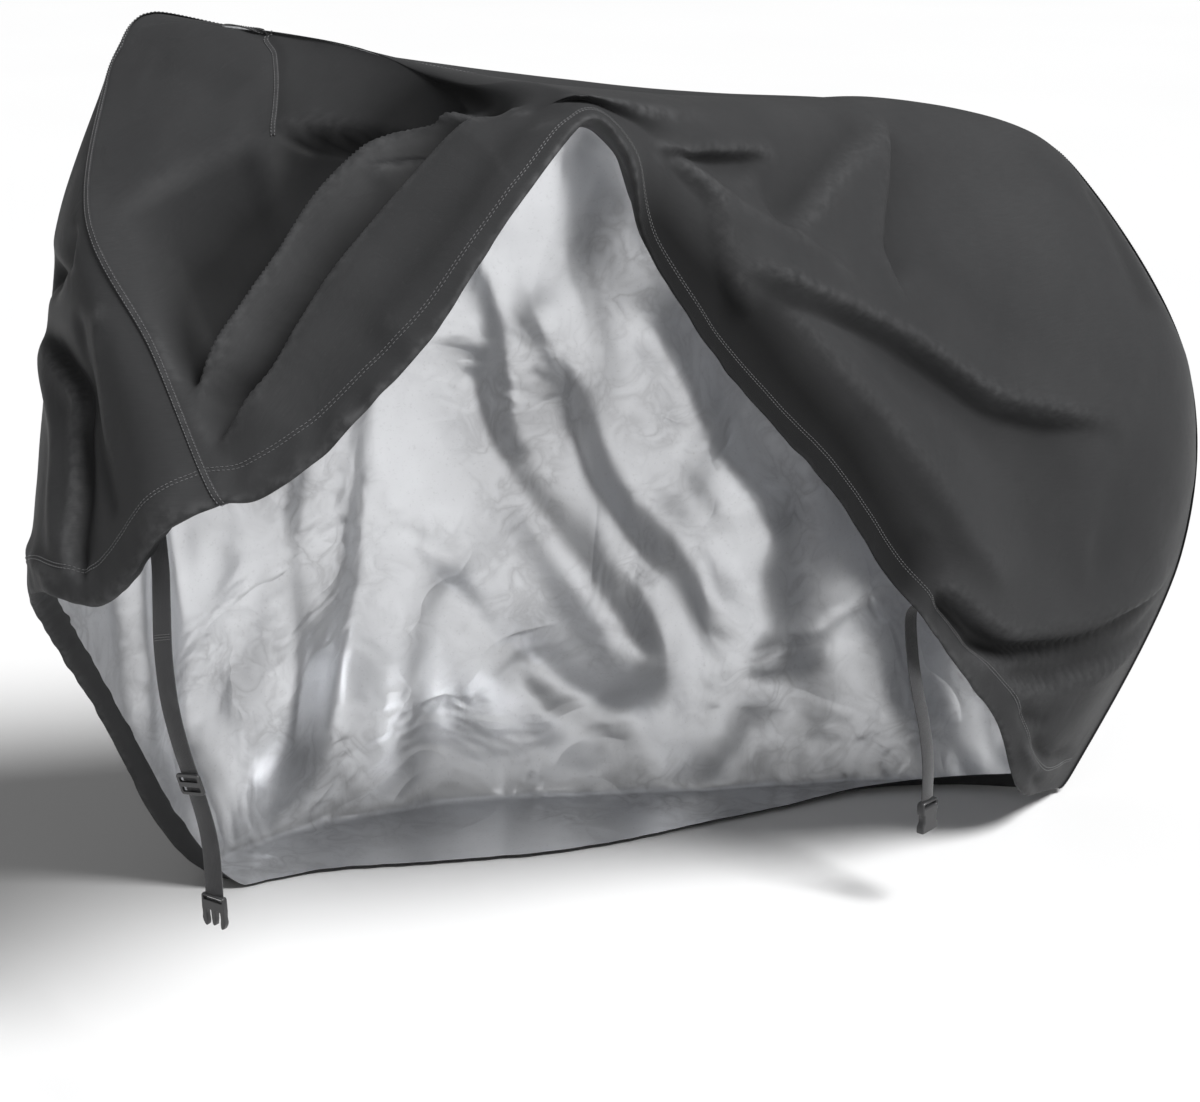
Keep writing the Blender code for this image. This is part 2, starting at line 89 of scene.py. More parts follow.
look = Vector((math.sin(TURN) * math.cos(DIP), math.cos(TURN) * math.cos(DIP), -math.sin(DIP)))
level = Vector((math.cos(TURN), -math.sin(TURN), 0.0))
upright = level.cross(look)
right = level * math.cos(ROLL) + upright * math.sin(ROLL)
above = upright * math.cos(ROLL) - level * math.sin(ROLL)

camera_data = bpy.data.cameras.new("camera")
camera_data.lens = LENS
camera_data.sensor_width = 36.0
camera_data.clip_end = 200.0
camera = bpy.data.objects.new("camera", camera_data)
camera.matrix_world = Matrix((
    (right.x, above.x, -look.x, CAMERA_AT[0]),
    (right.y, above.y, -look.y, CAMERA_AT[1]),
    (right.z, above.z, -look.z, CAMERA_AT[2]),
    (0.0, 0.0, 0.0, 1.0),
))
bpy.context.scene.collection.objects.link(camera)
bpy.context.scene.camera = camera
print("camera", [round(v, 3) for v in CAMERA_AT])

# %% [markdown]
# ## Helpers
#
# Every finish below is built from shader nodes. One helper adds a node and fills its
# sockets, one adds a sum, and one opens a node group with named inputs and outputs, so that
# an effect is built once and used by several materials. The others stand for the few nodes
# that nearly every finish needs. The last one puts a finished piece into the scene.

# %% Helpers for shader nodes
def fill(tree, sockets, values):
    """Gives sockets, by name or by place, a value or a link from another node."""
    for name, value in dict(values).items():
        if isinstance(value, bpy.types.NodeSocket):
            tree.links.new(value, sockets[name])
        else:
            sockets[name].default_value = value


def add_node(tree, kind, links=(), **settings):
    """A node of this kind, with its properties set and its sockets filled."""
    node = tree.nodes.new(kind)
    for name, value in settings.items():
        setattr(node, name, value)
    fill(tree, node.inputs, links)
    return node


def sum_of(tree, operation, *values):
    """One Math node, and its result."""
    return add_node(tree, "ShaderNodeMath", enumerate(values), operation=operation).outputs[0]


def blend_of(tree, share, one, two, kind="RGBA"):
    """A Mix node between two colours or two numbers."""
    first, last, result = {"RGBA": (6, 7, 2), "FLOAT": (2, 3, 0)}[kind]
    links = {0: share, first: one, last: two}
    return add_node(tree, "ShaderNodeMix", links, data_type=kind).outputs[result]


def object_place(tree):
    """The place on the piece, in metres."""
    return add_node(tree, "ShaderNodeTexCoord").outputs["Object"]


def noise(tree, place, scale, detail, **more):
    """A noise whose blotches are about 1 / scale metres wide."""
    links = {"Vector": place, "Scale": scale, "Detail": detail, **more}
    return add_node(tree, "ShaderNodeTexNoise", links).outputs["Fac"]


def rise(tree, value, low, high, top=1.0):
    """0 up to low, then evenly up to top at high."""
    return add_node(tree, "ShaderNodeMapRange", {0: value, 1: low, 2: high, 4: top}).outputs[0]


def arches(tree, value):
    """A row of round arches, one to each whole step of the value."""
    turn = sum_of(tree, "MULTIPLY", value, math.pi)
    return sum_of(tree, "ABSOLUTE", sum_of(tree, "SINE", turn))


def bumped(tree, height, distance, strength, normal=None):
    """The normal that a height gives, on top of another bump's normal if there is one."""
    links = {"Height": height, "Distance": distance, "Strength": strength}
    if normal is not None:
        links["Normal"] = normal
    return add_node(tree, "ShaderNodeBump", links).outputs[0]


def new_group(name, inputs, outputs):
    """A shader node group. Each input is (name, type, value), each output (name, type)."""
    tree = bpy.data.node_groups.new(name, "ShaderNodeTree")
    for title, kind, value in inputs:
        socket = tree.interface.new_socket(title, in_out="INPUT", socket_type="NodeSocket" + kind)
        if value is not None:
            socket.default_value = value
    for title, kind in outputs:
        tree.interface.new_socket(title, in_out="OUTPUT", socket_type="NodeSocket" + kind)
    given, out = tree.nodes.new("NodeGroupInput"), tree.nodes.new("NodeGroupOutput")
    return tree, given.outputs, out.inputs


def use_group(tree, group, links):
    """A group placed in a tree, and its outputs."""
    return add_node(tree, "ShaderNodeGroup", links, node_tree=group).outputs


def new_material(name, **constants):
    """A material, its tree and its Principled shader with these constant values."""
    material = bpy.data.materials.new(name)
    material.use_nodes = True
    tree = material.node_tree
    shader = tree.nodes["Principled BSDF"]
    fill(tree, shader.inputs, {name.replace("_", " "): v for name, v in constants.items()})
    return material, tree, shader.inputs


# %% A helper for pieces
def new_piece(name, data):
    """An object with this data, in the scene."""
    piece = bpy.data.objects.new(name, data)
    bpy.context.scene.collection.objects.link(piece)
    return piece


# %% [markdown]
# ## The straps' webbing
#
# Webbing is a flat band woven on a narrow loom: fine cross ribs in columns, each column
# half a rib out of step with the next, between two tight plain edges. A picture of it could
# be wrapped round the strap, but a rule is sharper at any distance: the strap's own UV map
# is in metres, and sines of it raise the ribs.

# %% The weave groups
def build_webbing_weave():
    """Ribs across the band in columns, from its UV map in metres."""
    tree, given, out = new_group(
        "webbing weave",
        [("Across", "Float", 0.0), ("Along", "Float", 0.0),
         ("Column", "Float", 0.0019), ("Rib", "Float", 0.0016)],
        [("Height", "Float"), ("Groove", "Float")],
    )
    above_zero = 100.0  # whole columns, an even number, so that no column counts below zero
    column = sum_of(tree, "DIVIDE", given["Across"], given["Column"])
    whole = sum_of(tree, "FLOOR", sum_of(tree, "ADD", column, above_zero))
    parity = sum_of(tree, "MODULO", whole, 2.0)
    run = sum_of(tree, "DIVIDE", given["Along"], given["Rib"])
    run = sum_of(tree, "ADD", run, sum_of(tree, "MULTIPLY", parity, 0.5))
    rib = sum_of(tree, "POWER", arches(tree, run), 0.6)
    edge = sum_of(tree, "POWER", arches(tree, column), 0.4)
    height = sum_of(tree, "MULTIPLY", rib, edge)
    fill(tree, out, {"Height": height, "Groove": sum_of(tree, "SUBTRACT", 1.0, height)})
    return tree


def build_plain_weave():
    """Threads over and under: along a UV map in metres, with slubs where a thread is thicker."""
    tree, given, out = new_group(
        "plain weave",
        [("UV", "Vector", None), ("Pitch", "Float", 0.0006)],
        [("Height", "Float"), ("Slub", "Float")],
    )
    parts = add_node(tree, "ShaderNodeSeparateXYZ", {0: given["UV"]}).outputs
    u = sum_of(tree, "DIVIDE", parts["X"], given["Pitch"])
    v = sum_of(tree, "DIVIDE", parts["Y"], given["Pitch"])
    steps = sum_of(tree, "ADD", sum_of(tree, "FLOOR", u), sum_of(tree, "FLOOR", v))
    over = sum_of(tree, "ABSOLUTE", sum_of(tree, "MODULO", steps, 2.0))
    height = blend_of(tree, over, arches(tree, u), arches(tree, v), "FLOAT")
    long_blotches = {"Vector": given["UV"], "Scale": (40.0, 900.0, 1.0)}
    stretched = add_node(tree, "ShaderNodeMapping", long_blotches).outputs[0]
    fill(tree, out, {"Height": height, "Slub": noise(tree, stretched, 1.0, 1.0)})
    return tree


WEBBING_WEAVE = build_webbing_weave()
PLAIN_WEAVE = build_plain_weave()
print("weaves:", WEBBING_WEAVE.name, "and", PLAIN_WEAVE.name)

# %% Black webbing
def make_webbing():
    material, tree, shader = new_material(
        "black webbing", Roughness=0.62, Sheen_Weight=0.25, Sheen_Roughness=0.4,
        Specular_IOR_Level=0.35)
    uv_map = add_node(tree, "ShaderNodeUVMap").outputs[0]
    uv = add_node(tree, "ShaderNodeSeparateXYZ", {0: uv_map}).outputs
    weave = use_group(tree, WEBBING_WEAVE, {"Across": uv["X"], "Along": uv["Y"]})
    worn = rise(tree, noise(tree, object_place(tree), 55.0, 4.0), 0.52, 0.75, 0.35)
    # Painted shade: the grooves between the ribs get a darker colour than the yarn.
    yarn, groove_shade = (0.026, 0.026, 0.028, 1), (0.006, 0.006, 0.007, 1)
    colour = blend_of(tree, weave["Groove"], yarn, groove_shade)
    fill(tree, shader, {
        "Base Color": blend_of(tree, worn, colour, (0.050, 0.050, 0.051, 1)),
        "Normal": bumped(tree, weave["Height"], 0.00035, 0.9),
    })
    return material


WEBBING = make_webbing()
print("made", WEBBING.name)

# %% [markdown]
# ## The two hanging straps
#
# Each strap is sewn inside the hem and hangs free, so it is a cord with one end fixed. Its
# route is a smooth curve through a few places, as the CAD solid's is, except that the rear
# one starts 24 mm higher, behind the raised hem. The band is swept along it with rounded
# edges and a slight cup, as webbing has after it has been pulled through a buckle, and it
# turns a little as it goes.

# %% Smooth curves through a row of places
def smooth_row(points, at):
    """Points along a smooth curve through points (k, ..., 3), at places counted in points."""
    points = np.asarray(points, float)
    last = len(points) - 1
    index = np.clip(np.floor(at).astype(int), 0, last - 1)
    t = (at - index).reshape((-1,) + (1,) * (points.ndim - 1))
    before, after = np.maximum(index - 1, 0), np.minimum(index + 2, last)
    a, b, c, d = points[before], points[index], points[index + 1], points[after]
    slope_b = np.where((index == 0).reshape(t.shape), c - b, (c - a) / 2)
    slope_c = np.where((index + 1 == last).reshape(t.shape), c - b, (d - b) / 2)
    return (
        (2 * t**3 - 3 * t**2 + 1) * b
        + (t**3 - 2 * t**2 + t) * slope_b
        + (3 * t**2 - 2 * t**3) * c
        + (t**3 - t**2) * slope_c
    )


def length_of(route):
    return float(np.linalg.norm(np.diff(route, axis=0), axis=1).sum())


# %% The straps' routes
WEBBING_WIDTH, WEBBING_THICK = 0.025, 0.0016
CAD_STEPS = 18  # the solid's own points along a strap
Strap = namedtuple("Strap", "across places")
STRAPS = {
    "front_strap": Strap((0.2944, -0.9557, 0.0), [
        (-0.7927, -0.1204, 0.6707), (-0.7895, -0.1205, 0.628), (-0.793, -0.127, 0.592),
        (-0.801, -0.143, 0.545), (-0.803, -0.158, 0.495), (-0.796, -0.169, 0.445),
        (-0.783, -0.176, 0.395), (-0.773, -0.180, 0.345), (-0.769, -0.180, 0.285),
    ]),
    "rear_strap": Strap((0.9753, 0.2207, 0.0), [
        (0.2462, -0.1590, 0.4190), (0.2488, -0.1420, 0.3952), (0.2540, -0.1425, 0.345),
        (0.2550, -0.1535, 0.300), (0.259, -0.165, 0.255), (0.263, -0.172, 0.205),
        (0.264, -0.173, 0.155),
    ]),
}


def strap_frames(strap, steps):
    """Along the strap: its middle, the direction across it, the way it faces, and onward."""
    route = np.array(strap.places) - HELD_AT
    middle = smooth_row(route, np.linspace(0.0, len(route) - 1.0, steps))
    frames = []
    for i, point in enumerate(middle):
        ahead = Vector(middle[min(i + 1, steps - 1)] - middle[max(i - 1, 0)]).normalized()
        across = Vector(strap.across)
        across = (across - ahead * across.dot(ahead)).normalized()
        frames.append((Vector(point), across, ahead.cross(across), ahead))
    return frames


STRAP_FRAMES = 91  # frames along a swept strap
frames_of = {name: strap_frames(strap, STRAP_FRAMES) for name, strap in STRAPS.items()}
for name, frames in frames_of.items():
    print(name, "is", round(length_of(np.array([f[0] for f in frames])), 3), "m long")

# %% Sweep the bands
def band_outline(width, thick, cup=0.0012, steps=9):
    """The band's cross-section as (across, through) pairs, rounded at both edges."""
    share = np.linspace(-1.0, 1.0, steps)
    half, round_off = width / 2 - thick / 2, thick / 2
    top = [(s * half, round_off - cup * s * s) for s in share]
    turn = [
        (half + round_off * math.cos(a), -cup + round_off * math.sin(a))
        for a in (0.9, 0.0, -0.9)]
    lower = [(s * half, -round_off - cup * s * s) for s in share[::-1]]
    return top + turn + lower + [(-x, y) for x, y in turn[::-1]]


def sweep_band(name, frames, outline, material):
    """A closed band along the frames, with its UV map in metres: across, then along."""
    shape = bmesh.new()
    uv = shape.loops.layers.uv.new("UVMap")
    rings = [[shape.verts.new(p + a * x + f * y) for x, y in outline] for p, a, f, _ in frames]
    steps = [(q[0] - p[0]).length for p, q in zip(frames, frames[1:])]
    run = np.concatenate([[0.0], np.cumsum(steps)])
    count = len(outline)
    for i in range(len(rings) - 1):
        for k in range(count):
            corners = ((i, k), (i, (k + 1) % count), (i + 1, (k + 1) % count), (i + 1, k))
            face = shape.faces.new([rings[r][c] for r, c in corners])
            for loop, (r, c) in zip(face.loops, corners):
                loop[uv].uv = (outline[c][0], run[r])
    shape.faces.new(rings[0])
    shape.faces.new(rings[-1])
    bmesh.ops.recalc_face_normals(shape, faces=shape.faces)
    mesh = bpy.data.meshes.new(name)
    shape.to_mesh(mesh)
    shape.free()
    mesh.shade_smooth()
    mesh.materials.append(material)
    return new_piece(name, mesh)


webbing_outline = band_outline(WEBBING_WIDTH, WEBBING_THICK)
strap_pieces = {
    name: sweep_band(name + "_webbing", frames, webbing_outline, WEBBING)
    for name, frames in frames_of.items()
}
print({name: len(piece.data.polygons) for name, piece in strap_pieces.items()})

# %% [markdown]
# ## The cloth's shape
#
# The cover is built like a boat. One seam runs over the top from front to rear, and at each
# row of a table a rib hangs from it to each side: over a crest, down the wall and round the
# hem, which is turned in. Most rows are those of the CAD solids, with each rib step cut four
# times finer. Two places were read better later and differ from the solids: from rib 8 to
# rib 16 the near hem is up to 30 mm higher and turned in flat against its wall, where the
# solids turn it in square, and the rear seam stands out 34 mm further low down. Cloth
# simulation would need the thing underneath. Ribs give the settled shape at once, and
# always the same.

# %% The top seam and the two sides, measured from the floor
Top = namedtuple("Top", "x y z columns")
TOP_SEAM = [
    Top(-0.575, 0.334, 1.100, 6), Top(-0.562, 0.344, 1.112, 6), Top(-0.551, 0.349, 1.120, 6),
    Top(-0.538, 0.348, 1.126, 6), Top(-0.518, 0.338, 1.127, 5), Top(-0.466, 0.302, 1.115, 5),
    Top(-0.396, 0.256, 1.098, 4), Top(-0.318, 0.210, 1.082, 4), Top(-0.235, 0.165, 1.065, 4),
    Top(-0.165, 0.142, 1.050, 4), Top(-0.075, 0.124, 1.033, 4), Top(0.030, 0.110, 1.018, 4),
    Top(0.130, 0.100, 1.008, 3), Top(0.235, 0.092, 1.003, 4), Top(0.330, 0.085, 0.999, 3),
    Top(0.400, 0.078, 0.992, 3), Top(0.460, 0.070, 0.980, 3), Top(0.520, 0.062, 0.962, 0),
]

# One side of a rib: its crest, its visible lower edge, the compass heading of its outer face
# in degrees from +X, how far the wall stands out a third and two thirds of the way down, and
# how far the hem turns in and up from the edge.
Side = namedtuple("Side", "crest edge heading chest waist tuck_in tuck_up")
FRONT_SEAM = Side((-0.618, 0.295, 1.058), (-0.766, -0.190, 0.723), 197, 0.074, 0.030, 0.030, -0.012)
REAR_SEAM = Side((0.672, 0.036, 0.900), (0.735, 0.015, 0.030), 0, 0.228, 0.224, 0.035, 0.004)
NEAR_SIDE = [
    FRONT_SEAM,
    Side((-0.538, 0.262, 1.112), (-0.738, -0.222, 0.732), 216, 0.040, 0.030, 0.030, -0.010),
    Side((-0.482, 0.150, 1.112), (-0.690, -0.258, 0.770), 218, 0.035, 0.034, 0.030, -0.006),
    Side((-0.452, 0.045, 1.109), (-0.645, -0.286, 0.822), 220, 0.030, 0.034, 0.032, 0.000),
    Side((-0.430, -0.055, 1.108), (-0.592, -0.312, 0.880), 223, 0.024, 0.030, 0.036, 0.006),
    Side((-0.412, -0.135, 1.106), (-0.545, -0.328, 0.948), 227, 0.018, 0.024, 0.044, 0.010),
    Side((-0.398, -0.200, 1.104), (-0.490, -0.334, 1.015), 235, 0.012, 0.016, 0.055, 0.012),
    Side((-0.384, -0.245, 1.102), (-0.412, -0.318, 1.078), 255, 0.006, 0.008, 0.070, -0.020),
    Side((-0.330, -0.236, 1.092), (-0.352, -0.304, 1.050), 268, 0.006, 0.008, 0.040, 0.004),
    Side((-0.232, -0.205, 1.077), (-0.276, -0.290, 0.932), 272, 0.010, 0.012, 0.022, 0.026),
    Side((-0.118, -0.158, 1.058), (-0.168, -0.276, 0.804), 273, 0.018, 0.022, 0.016, 0.032),
    Side((0.014, -0.108, 1.040), (-0.050, -0.252, 0.698), 274, 0.030, 0.030, 0.014, 0.034),
    Side((0.146, -0.062, 1.024), (0.062, -0.228, 0.604), 276, 0.045, 0.036, 0.014, 0.034),
    Side((0.276, -0.020, 1.010), (0.175, -0.205, 0.480), 280, 0.058, 0.042, 0.014, 0.034),
    Side((0.400, -0.010, 0.985), (0.292, -0.180, 0.349), 288, 0.072, 0.052, 0.016, 0.032),
    Side((0.520, -0.010, 0.955), (0.434, -0.134, 0.226), 303, 0.112, 0.090, 0.018, 0.030),
    Side((0.612, 0.002, 0.925), (0.555, -0.078, 0.085), 328, 0.178, 0.158, 0.022, 0.024),
    REAR_SEAM,
]
FAR_SIDE = [
    FRONT_SEAM,
    Side((-0.607, 0.322, 1.056), (-0.812, -0.150, 0.690), 192, 0.066, 0.030, 0.028, -0.010),
    Side((-0.592, 0.346, 1.058), (-0.832, -0.062, 0.598), 184, 0.056, 0.022, 0.026, -0.010),
    Side((-0.574, 0.368, 1.062), (-0.838, 0.060, 0.578), 172, 0.036, 0.016, 0.026, 0.004),
    Side((-0.553, 0.387, 1.066), (-0.790, 0.180, 0.520), 155, 0.022, 0.018, 0.026, 0.004),
    Side((-0.530, 0.400, 1.068), (-0.708, 0.290, 0.425), 132, 0.026, 0.022, 0.028, 0.004),
    Side((-0.504, 0.410, 1.068), (-0.610, 0.372, 0.285), 114, 0.030, 0.028, 0.030, 0.004),
    Side((-0.464, 0.418, 1.066), (-0.520, 0.428, 0.130), 102, 0.032, 0.034, 0.050, 0.000),
    Side((-0.396, 0.412, 1.058), (-0.425, 0.468, 0.034), 95, 0.032, 0.036, 0.085, -0.026),
    Side((-0.300, 0.388, 1.044), (-0.310, 0.494, 0.010), 92, 0.030, 0.032, 0.125, -0.004),
    Side((-0.175, 0.346, 1.026), (-0.165, 0.494, 0.010), 90, 0.028, 0.026, 0.190, -0.004),
    Side((-0.050, 0.308, 1.008), (-0.010, 0.462, 0.010), 86, 0.030, 0.022, 0.215, -0.004),
    Side((0.075, 0.274, 0.990), (0.120, 0.398, 0.010), 80, 0.036, 0.020, 0.180, -0.004),
    Side((0.202, 0.248, 0.975), (0.245, 0.332, 0.010), 72, 0.046, 0.024, 0.130, -0.004),
    Side((0.330, 0.222, 0.965), (0.372, 0.268, 0.010), 66, 0.062, 0.036, 0.085, -0.003),
    Side((0.455, 0.190, 0.950), (0.505, 0.212, 0.012), 56, 0.088, 0.062, 0.050, 0.000),
    Side((0.580, 0.128, 0.925), (0.635, 0.125, 0.020), 34, 0.150, 0.125, 0.038, 0.002),
    REAR_SEAM,
]
print("ribs:", len(TOP_SEAM))

# %% Loft both sides
FINER = 4            # columns of cloth for each column of the solid
ROWS = 150           # faces from the top seam round the hem
FLOOR_CLEAR = 0.004  # the lowest that the cloth's middle may lie above the floor
DOWN_AT = [0.0, 0.17, 0.38, 0.62, 0.88, 1.0]  # share of the way down of a rib's six points
HEM_ROW = int(round(DOWN_AT[4] * ROWS))       # the row that is the hem's folded edge


def rib_points(top, side):
    crest, edge = Vector(side.crest), Vector(side.edge)
    heading = math.radians(side.heading)
    out = Vector((math.cos(heading), math.sin(heading), 0.0))
    chest = crest.lerp(edge, 1 / 3) + out * side.chest
    waist = crest.lerp(edge, 2 / 3) + out * side.waist
    tuck = edge - out * side.tuck_in + Vector((0.0, 0.0, side.tuck_up))
    return [(top.x, top.y, top.z), crest[:], chest[:], waist[:], edge[:], tuck[:]]


def rib_places():
    """Every column's place, counted in ribs."""
    places = [0.0]
    for rib, top in enumerate(TOP_SEAM[:-1]):
        steps = top.columns * FINER
        places += [rib + (step + 1) / steps for step in range(steps)]
    return np.array(places)


COLUMNS_AT = rib_places()
DOWN = np.linspace(0.0, 1.0, ROWS + 1)
ROWS_AT = np.interp(DOWN, DOWN_AT, range(6))


def ribs_at(sides, places):
    """The six points of the ribs at these places, counted in ribs."""
    net = np.array([rib_points(top, side) for top, side in zip(TOP_SEAM, sides)])
    return smooth_row(net, places)


def point_at(sides, ribs, down):
    """Places on the smooth side, for lists of rib numbers and shares of the way down."""
    rows = np.interp(down, DOWN_AT, range(6))
    along = ribs_at(sides, np.asarray(ribs, float))
    return np.array([smooth_row(rib, rows[i : i + 1])[0] for i, rib in enumerate(along)])


def side_surface(sides):
    """One whole side as a grid of points: columns from front to rear, rows from top to hem."""
    along = ribs_at(sides, COLUMNS_AT)
    surface = smooth_row(along.transpose(1, 0, 2), ROWS_AT).transpose(1, 0, 2)
    surface[..., 2] = np.maximum(surface[..., 2], FLOOR_CLEAR)
    return surface


def face_normals(grid, outward):
    normals = np.cross(np.gradient(grid, axis=0), np.gradient(grid, axis=1)) * outward
    return normals / np.maximum(np.linalg.norm(normals, axis=2, keepdims=True), 1e-12)


near_smooth, far_smooth = side_surface(NEAR_SIDE), side_surface(FAR_SIDE)
print("grid of", near_smooth.shape[:2], "points a side")

# %% [markdown]
# ## Folds
#
# Cloth that is pulled up gathers towards the pull. It doesn't make round waves there: each
# fold leans over the next one, so that seen from the front a lit band ends in a crisp edge
# with a dark, slowly rising hollow behind it. Such a fold is called a lap here. It is a path
# on the cloth, a step beside the path, a band that rises on one side and a hollow that sinks
# on the other. Softer things, such as a roll or a pull line, are plain ridges and troughs.
# A path is a row of places, each a rib number and a share of the way down, and "right" is
# the right hand of somebody who walks along it on the outside of the cloth.

# %% The laps and the folds of the near side
Lap = namedtuple("Lap", "name places step band hollow rise drop")
Fold = namedtuple("Fold", "name places left right height sharp")

NEAR_LAPS = [
    # name, places (rib, share down), step, band, hollow on the right hand, rise, drop
    Lap("first lap", [(5.0, .240), (4.15, .263), (3.58, .318), (2.95, .406), (2.27, .491),
        (1.59, .581), (.97, .656), (.2, .72)], 0.013, 0.034, 0.076, 0.026, 0.052),
    Lap("second lap", [(5.9, .29), (4.96, .369), (4.37, .437), (3.86, .503), (3.32, .565),
        (2.61, .642), (1.92, .71), (1.38, .747), (.4, .80)], 0.013, 0.050, 0.058, 0.024, 0.046),
    Lap("brow lap", [(1.80, .312), (2.69, .296), (3.54, .277), (4.15, .261), (5.0, .238)], 0.010,
        0.050, 0.040, 0.008, 0.026),
    Lap("head fold", [(5.3, .30), (4.4, .350), (3.85, .365), (3.2, .405)], 0.007, 0.020, 0.016,
        0.006, 0.007),
    Lap("tension line", [(.10, .375), (.6, .366), (1.09, .355), (1.80, .322)], 0.030, 0.050,
        0.050, 0.004, 0.007),
    Lap("main crease", [(9.9, .575), (10.58, .569), (11.29, .541), (12.23, .521), (12.74, .514),
        (13.32, .512), (13.85, .509), (14.52, .491), (15.3, .465)], 0.018, 0.050, 0.055, 0.015,
        0.014),
    Lap("side lap", [(8.95, .40), (9.53, .456), (9.77, .545), (9.98, .627), (10.4, .67)], 0.008,
        0.022, 0.026, 0.006, 0.009),
    Lap("flat lap", [(8.8, .41), (9.3, .345), (9.79, .303), (10.8, .268)], 0.008, 0.022, 0.030,
        0.005, 0.011),
    Lap("hump fan", [(12.9, .195), (11.73, .291), (10.95, .403), (10.5, .46)], 0.014, 0.045,
        0.045, 0.006, 0.008),
    Lap("hump ridge", [(12.45, .47), (12.2, .380), (12.47, .289), (12.85, .19)], 0.014, 0.045,
        0.060, 0.008, 0.009),
    Lap("wall foot", [(13.5, .81), (13.81, .79), (14.26, .783), (14.71, .775), (15.09, .748),
        (15.45, .714), (15.96, .657), (16.8, .60)], 0.014, 0.050, 0.034, 0.010, 0.022),
    Lap("second tuck", [(16.9, .61), (15.9, .681), (15.49, .728), (15.07, .775), (14.46, .833),
        (14.0, .87)], 0.012, 0.018, 0.016, 0.008, 0.010),
    Lap("third tuck", [(16.9, .66), (16.1, .71), (15.6, .753), (15.36, .787), (14.7, .855)],
        0.011, 0.022, 0.016, 0.010, 0.010),
]
NEAR_FOLDS = [
    # name, places (rib, share down), left, right, height, sharp
    Fold("hem light", [(6.6, .45), (5.9, .60), (5.03, .70), (4.04, .74), (3.2, .79)], 0.030,
        0.026, 0.008, 1.8),
    Fold("upper band", [(8.7, .39), (9.5, .43), (10.08, .449), (10.94, .465), (11.8, .495)],
        0.022, 0.030, 0.014, 1.7),
    Fold("roll", [(9.6, .55), (10.64, .609), (11.28, .657), (12.06, .688), (13.06, .70),
        (13.84, .717), (14.6, .72)], 0.050, 0.026, 0.022, 1.7),
    Fold("rolled in", [(8.3, .66), (9.35, .75), (10.17, .77), (10.94, .79), (11.87, .815),
        (12.87, .835), (13.8, .85)], 0.048, 0.060, -0.032, 2.0),
    Fold("rear hollow", [(16.3, .20), (15.92, .26), (15.73, .34)], 0.034, 0.034, -0.007, 2.0),
    Fold("pocket 1", [(4.3, .208), (4.55, .222), (4.9, .247)], 0.014, 0.012, -0.006, 1.6),
    Fold("pocket 2", [(4.8, .270), (5.1, .292), (5.5, .335)], 0.014, 0.012, -0.006, 1.6),
]
NEAR_CREASES = [
    # the same, but finer: these are laid on the cloth after its folds
    Fold("drop seam", [(1.93, .02), (1.93, .15), (1.87, .252), (1.88, .312)], 0.005, 0.007,
        -0.003, 1.4),
    Fold("v left", [(1.90, .325), (1.87, .368), (1.7, .431)], 0.010, 0.006, 0.004, 1.4),
    Fold("v right", [(1.92, .322), (2.08, .358), (2.25, .400)], 0.005, 0.008, -0.005, 1.4),
    Fold("streak one", [(3.26, .290), (3.24, .33), (3.12, .375)], 0.008, 0.008, 0.013, 1.5),
    Fold("streak two", [(3.72, .43), (3.70, .476), (3.45, .530)], 0.008, 0.008, 0.012, 1.5),
    Fold("pocket rim 1", [(4.2, .192), (4.6, .203), (5.1, .233)], 0.007, 0.006, 0.007, 1.5),
    Fold("pocket rim 2", [(4.7, .252), (5.1, .270), (5.7, .318)], 0.007, 0.006, 0.007, 1.5),
    Fold("hem crease", [(6.1, .33), (5.5, .385), (4.95, .41), (4.3, .455)], 0.005, 0.006, 0.004,
        1.4),
    Fold("wedge ray", [(10.8, .27), (10.4, .335), (10.08, .392)], 0.008, 0.012, 0.004, 1.5),
    Fold("rear line", [(15.55, .33), (15.14, .494), (15.09, .598), (15.27, .68)], 0.006, 0.022,
        0.006, 1.5),
    Fold("hem pull 1", [(9.6, .80), (9.9, .74), (10.1, .68)], 0.008, 0.008, 0.003, 1.5),
    Fold("hem pull 2", [(11.0, .84), (11.3, .78), (11.8, .72)], 0.008, 0.010, 0.003, 1.5),
    Fold("hem pull 3", [(12.5, .86), (12.8, .79), (13.4, .74)], 0.008, 0.008, 0.004, 1.5),
    Fold("foot mark 1", [(14.2, .815), (14.53, .80), (14.8, .778)], 0.005, 0.006, -0.009, 1.4),
    Fold("foot mark 2", [(15.2, .845), (15.36, .832), (15.58, .811), (15.65, .78)], 0.006, 0.006,
        -0.010, 1.4),
    Fold("foot mark 3", [(15.5, .845), (15.9, .835), (16.38, .831), (16.8, .865)], 0.007, 0.006,
        -0.011, 1.4),
    Fold("foot mark 4", [(15.9, .862), (16.3, .885), (16.7, .905)], 0.006, 0.006, -0.007, 1.4),
    Fold("foot shine", [(15.4, .870), (15.7, .86), (16.2, .858)], 0.006, 0.006, 0.006, 1.4),
    Fold("brow dimple", [(.5, .20), (1.0, .24), (1.5, .28)], 0.030, 0.030, -0.003, 2.0),
]
print("near side:", len(NEAR_LAPS + NEAR_FOLDS), "laps and folds,", len(NEAR_CREASES), "creases")

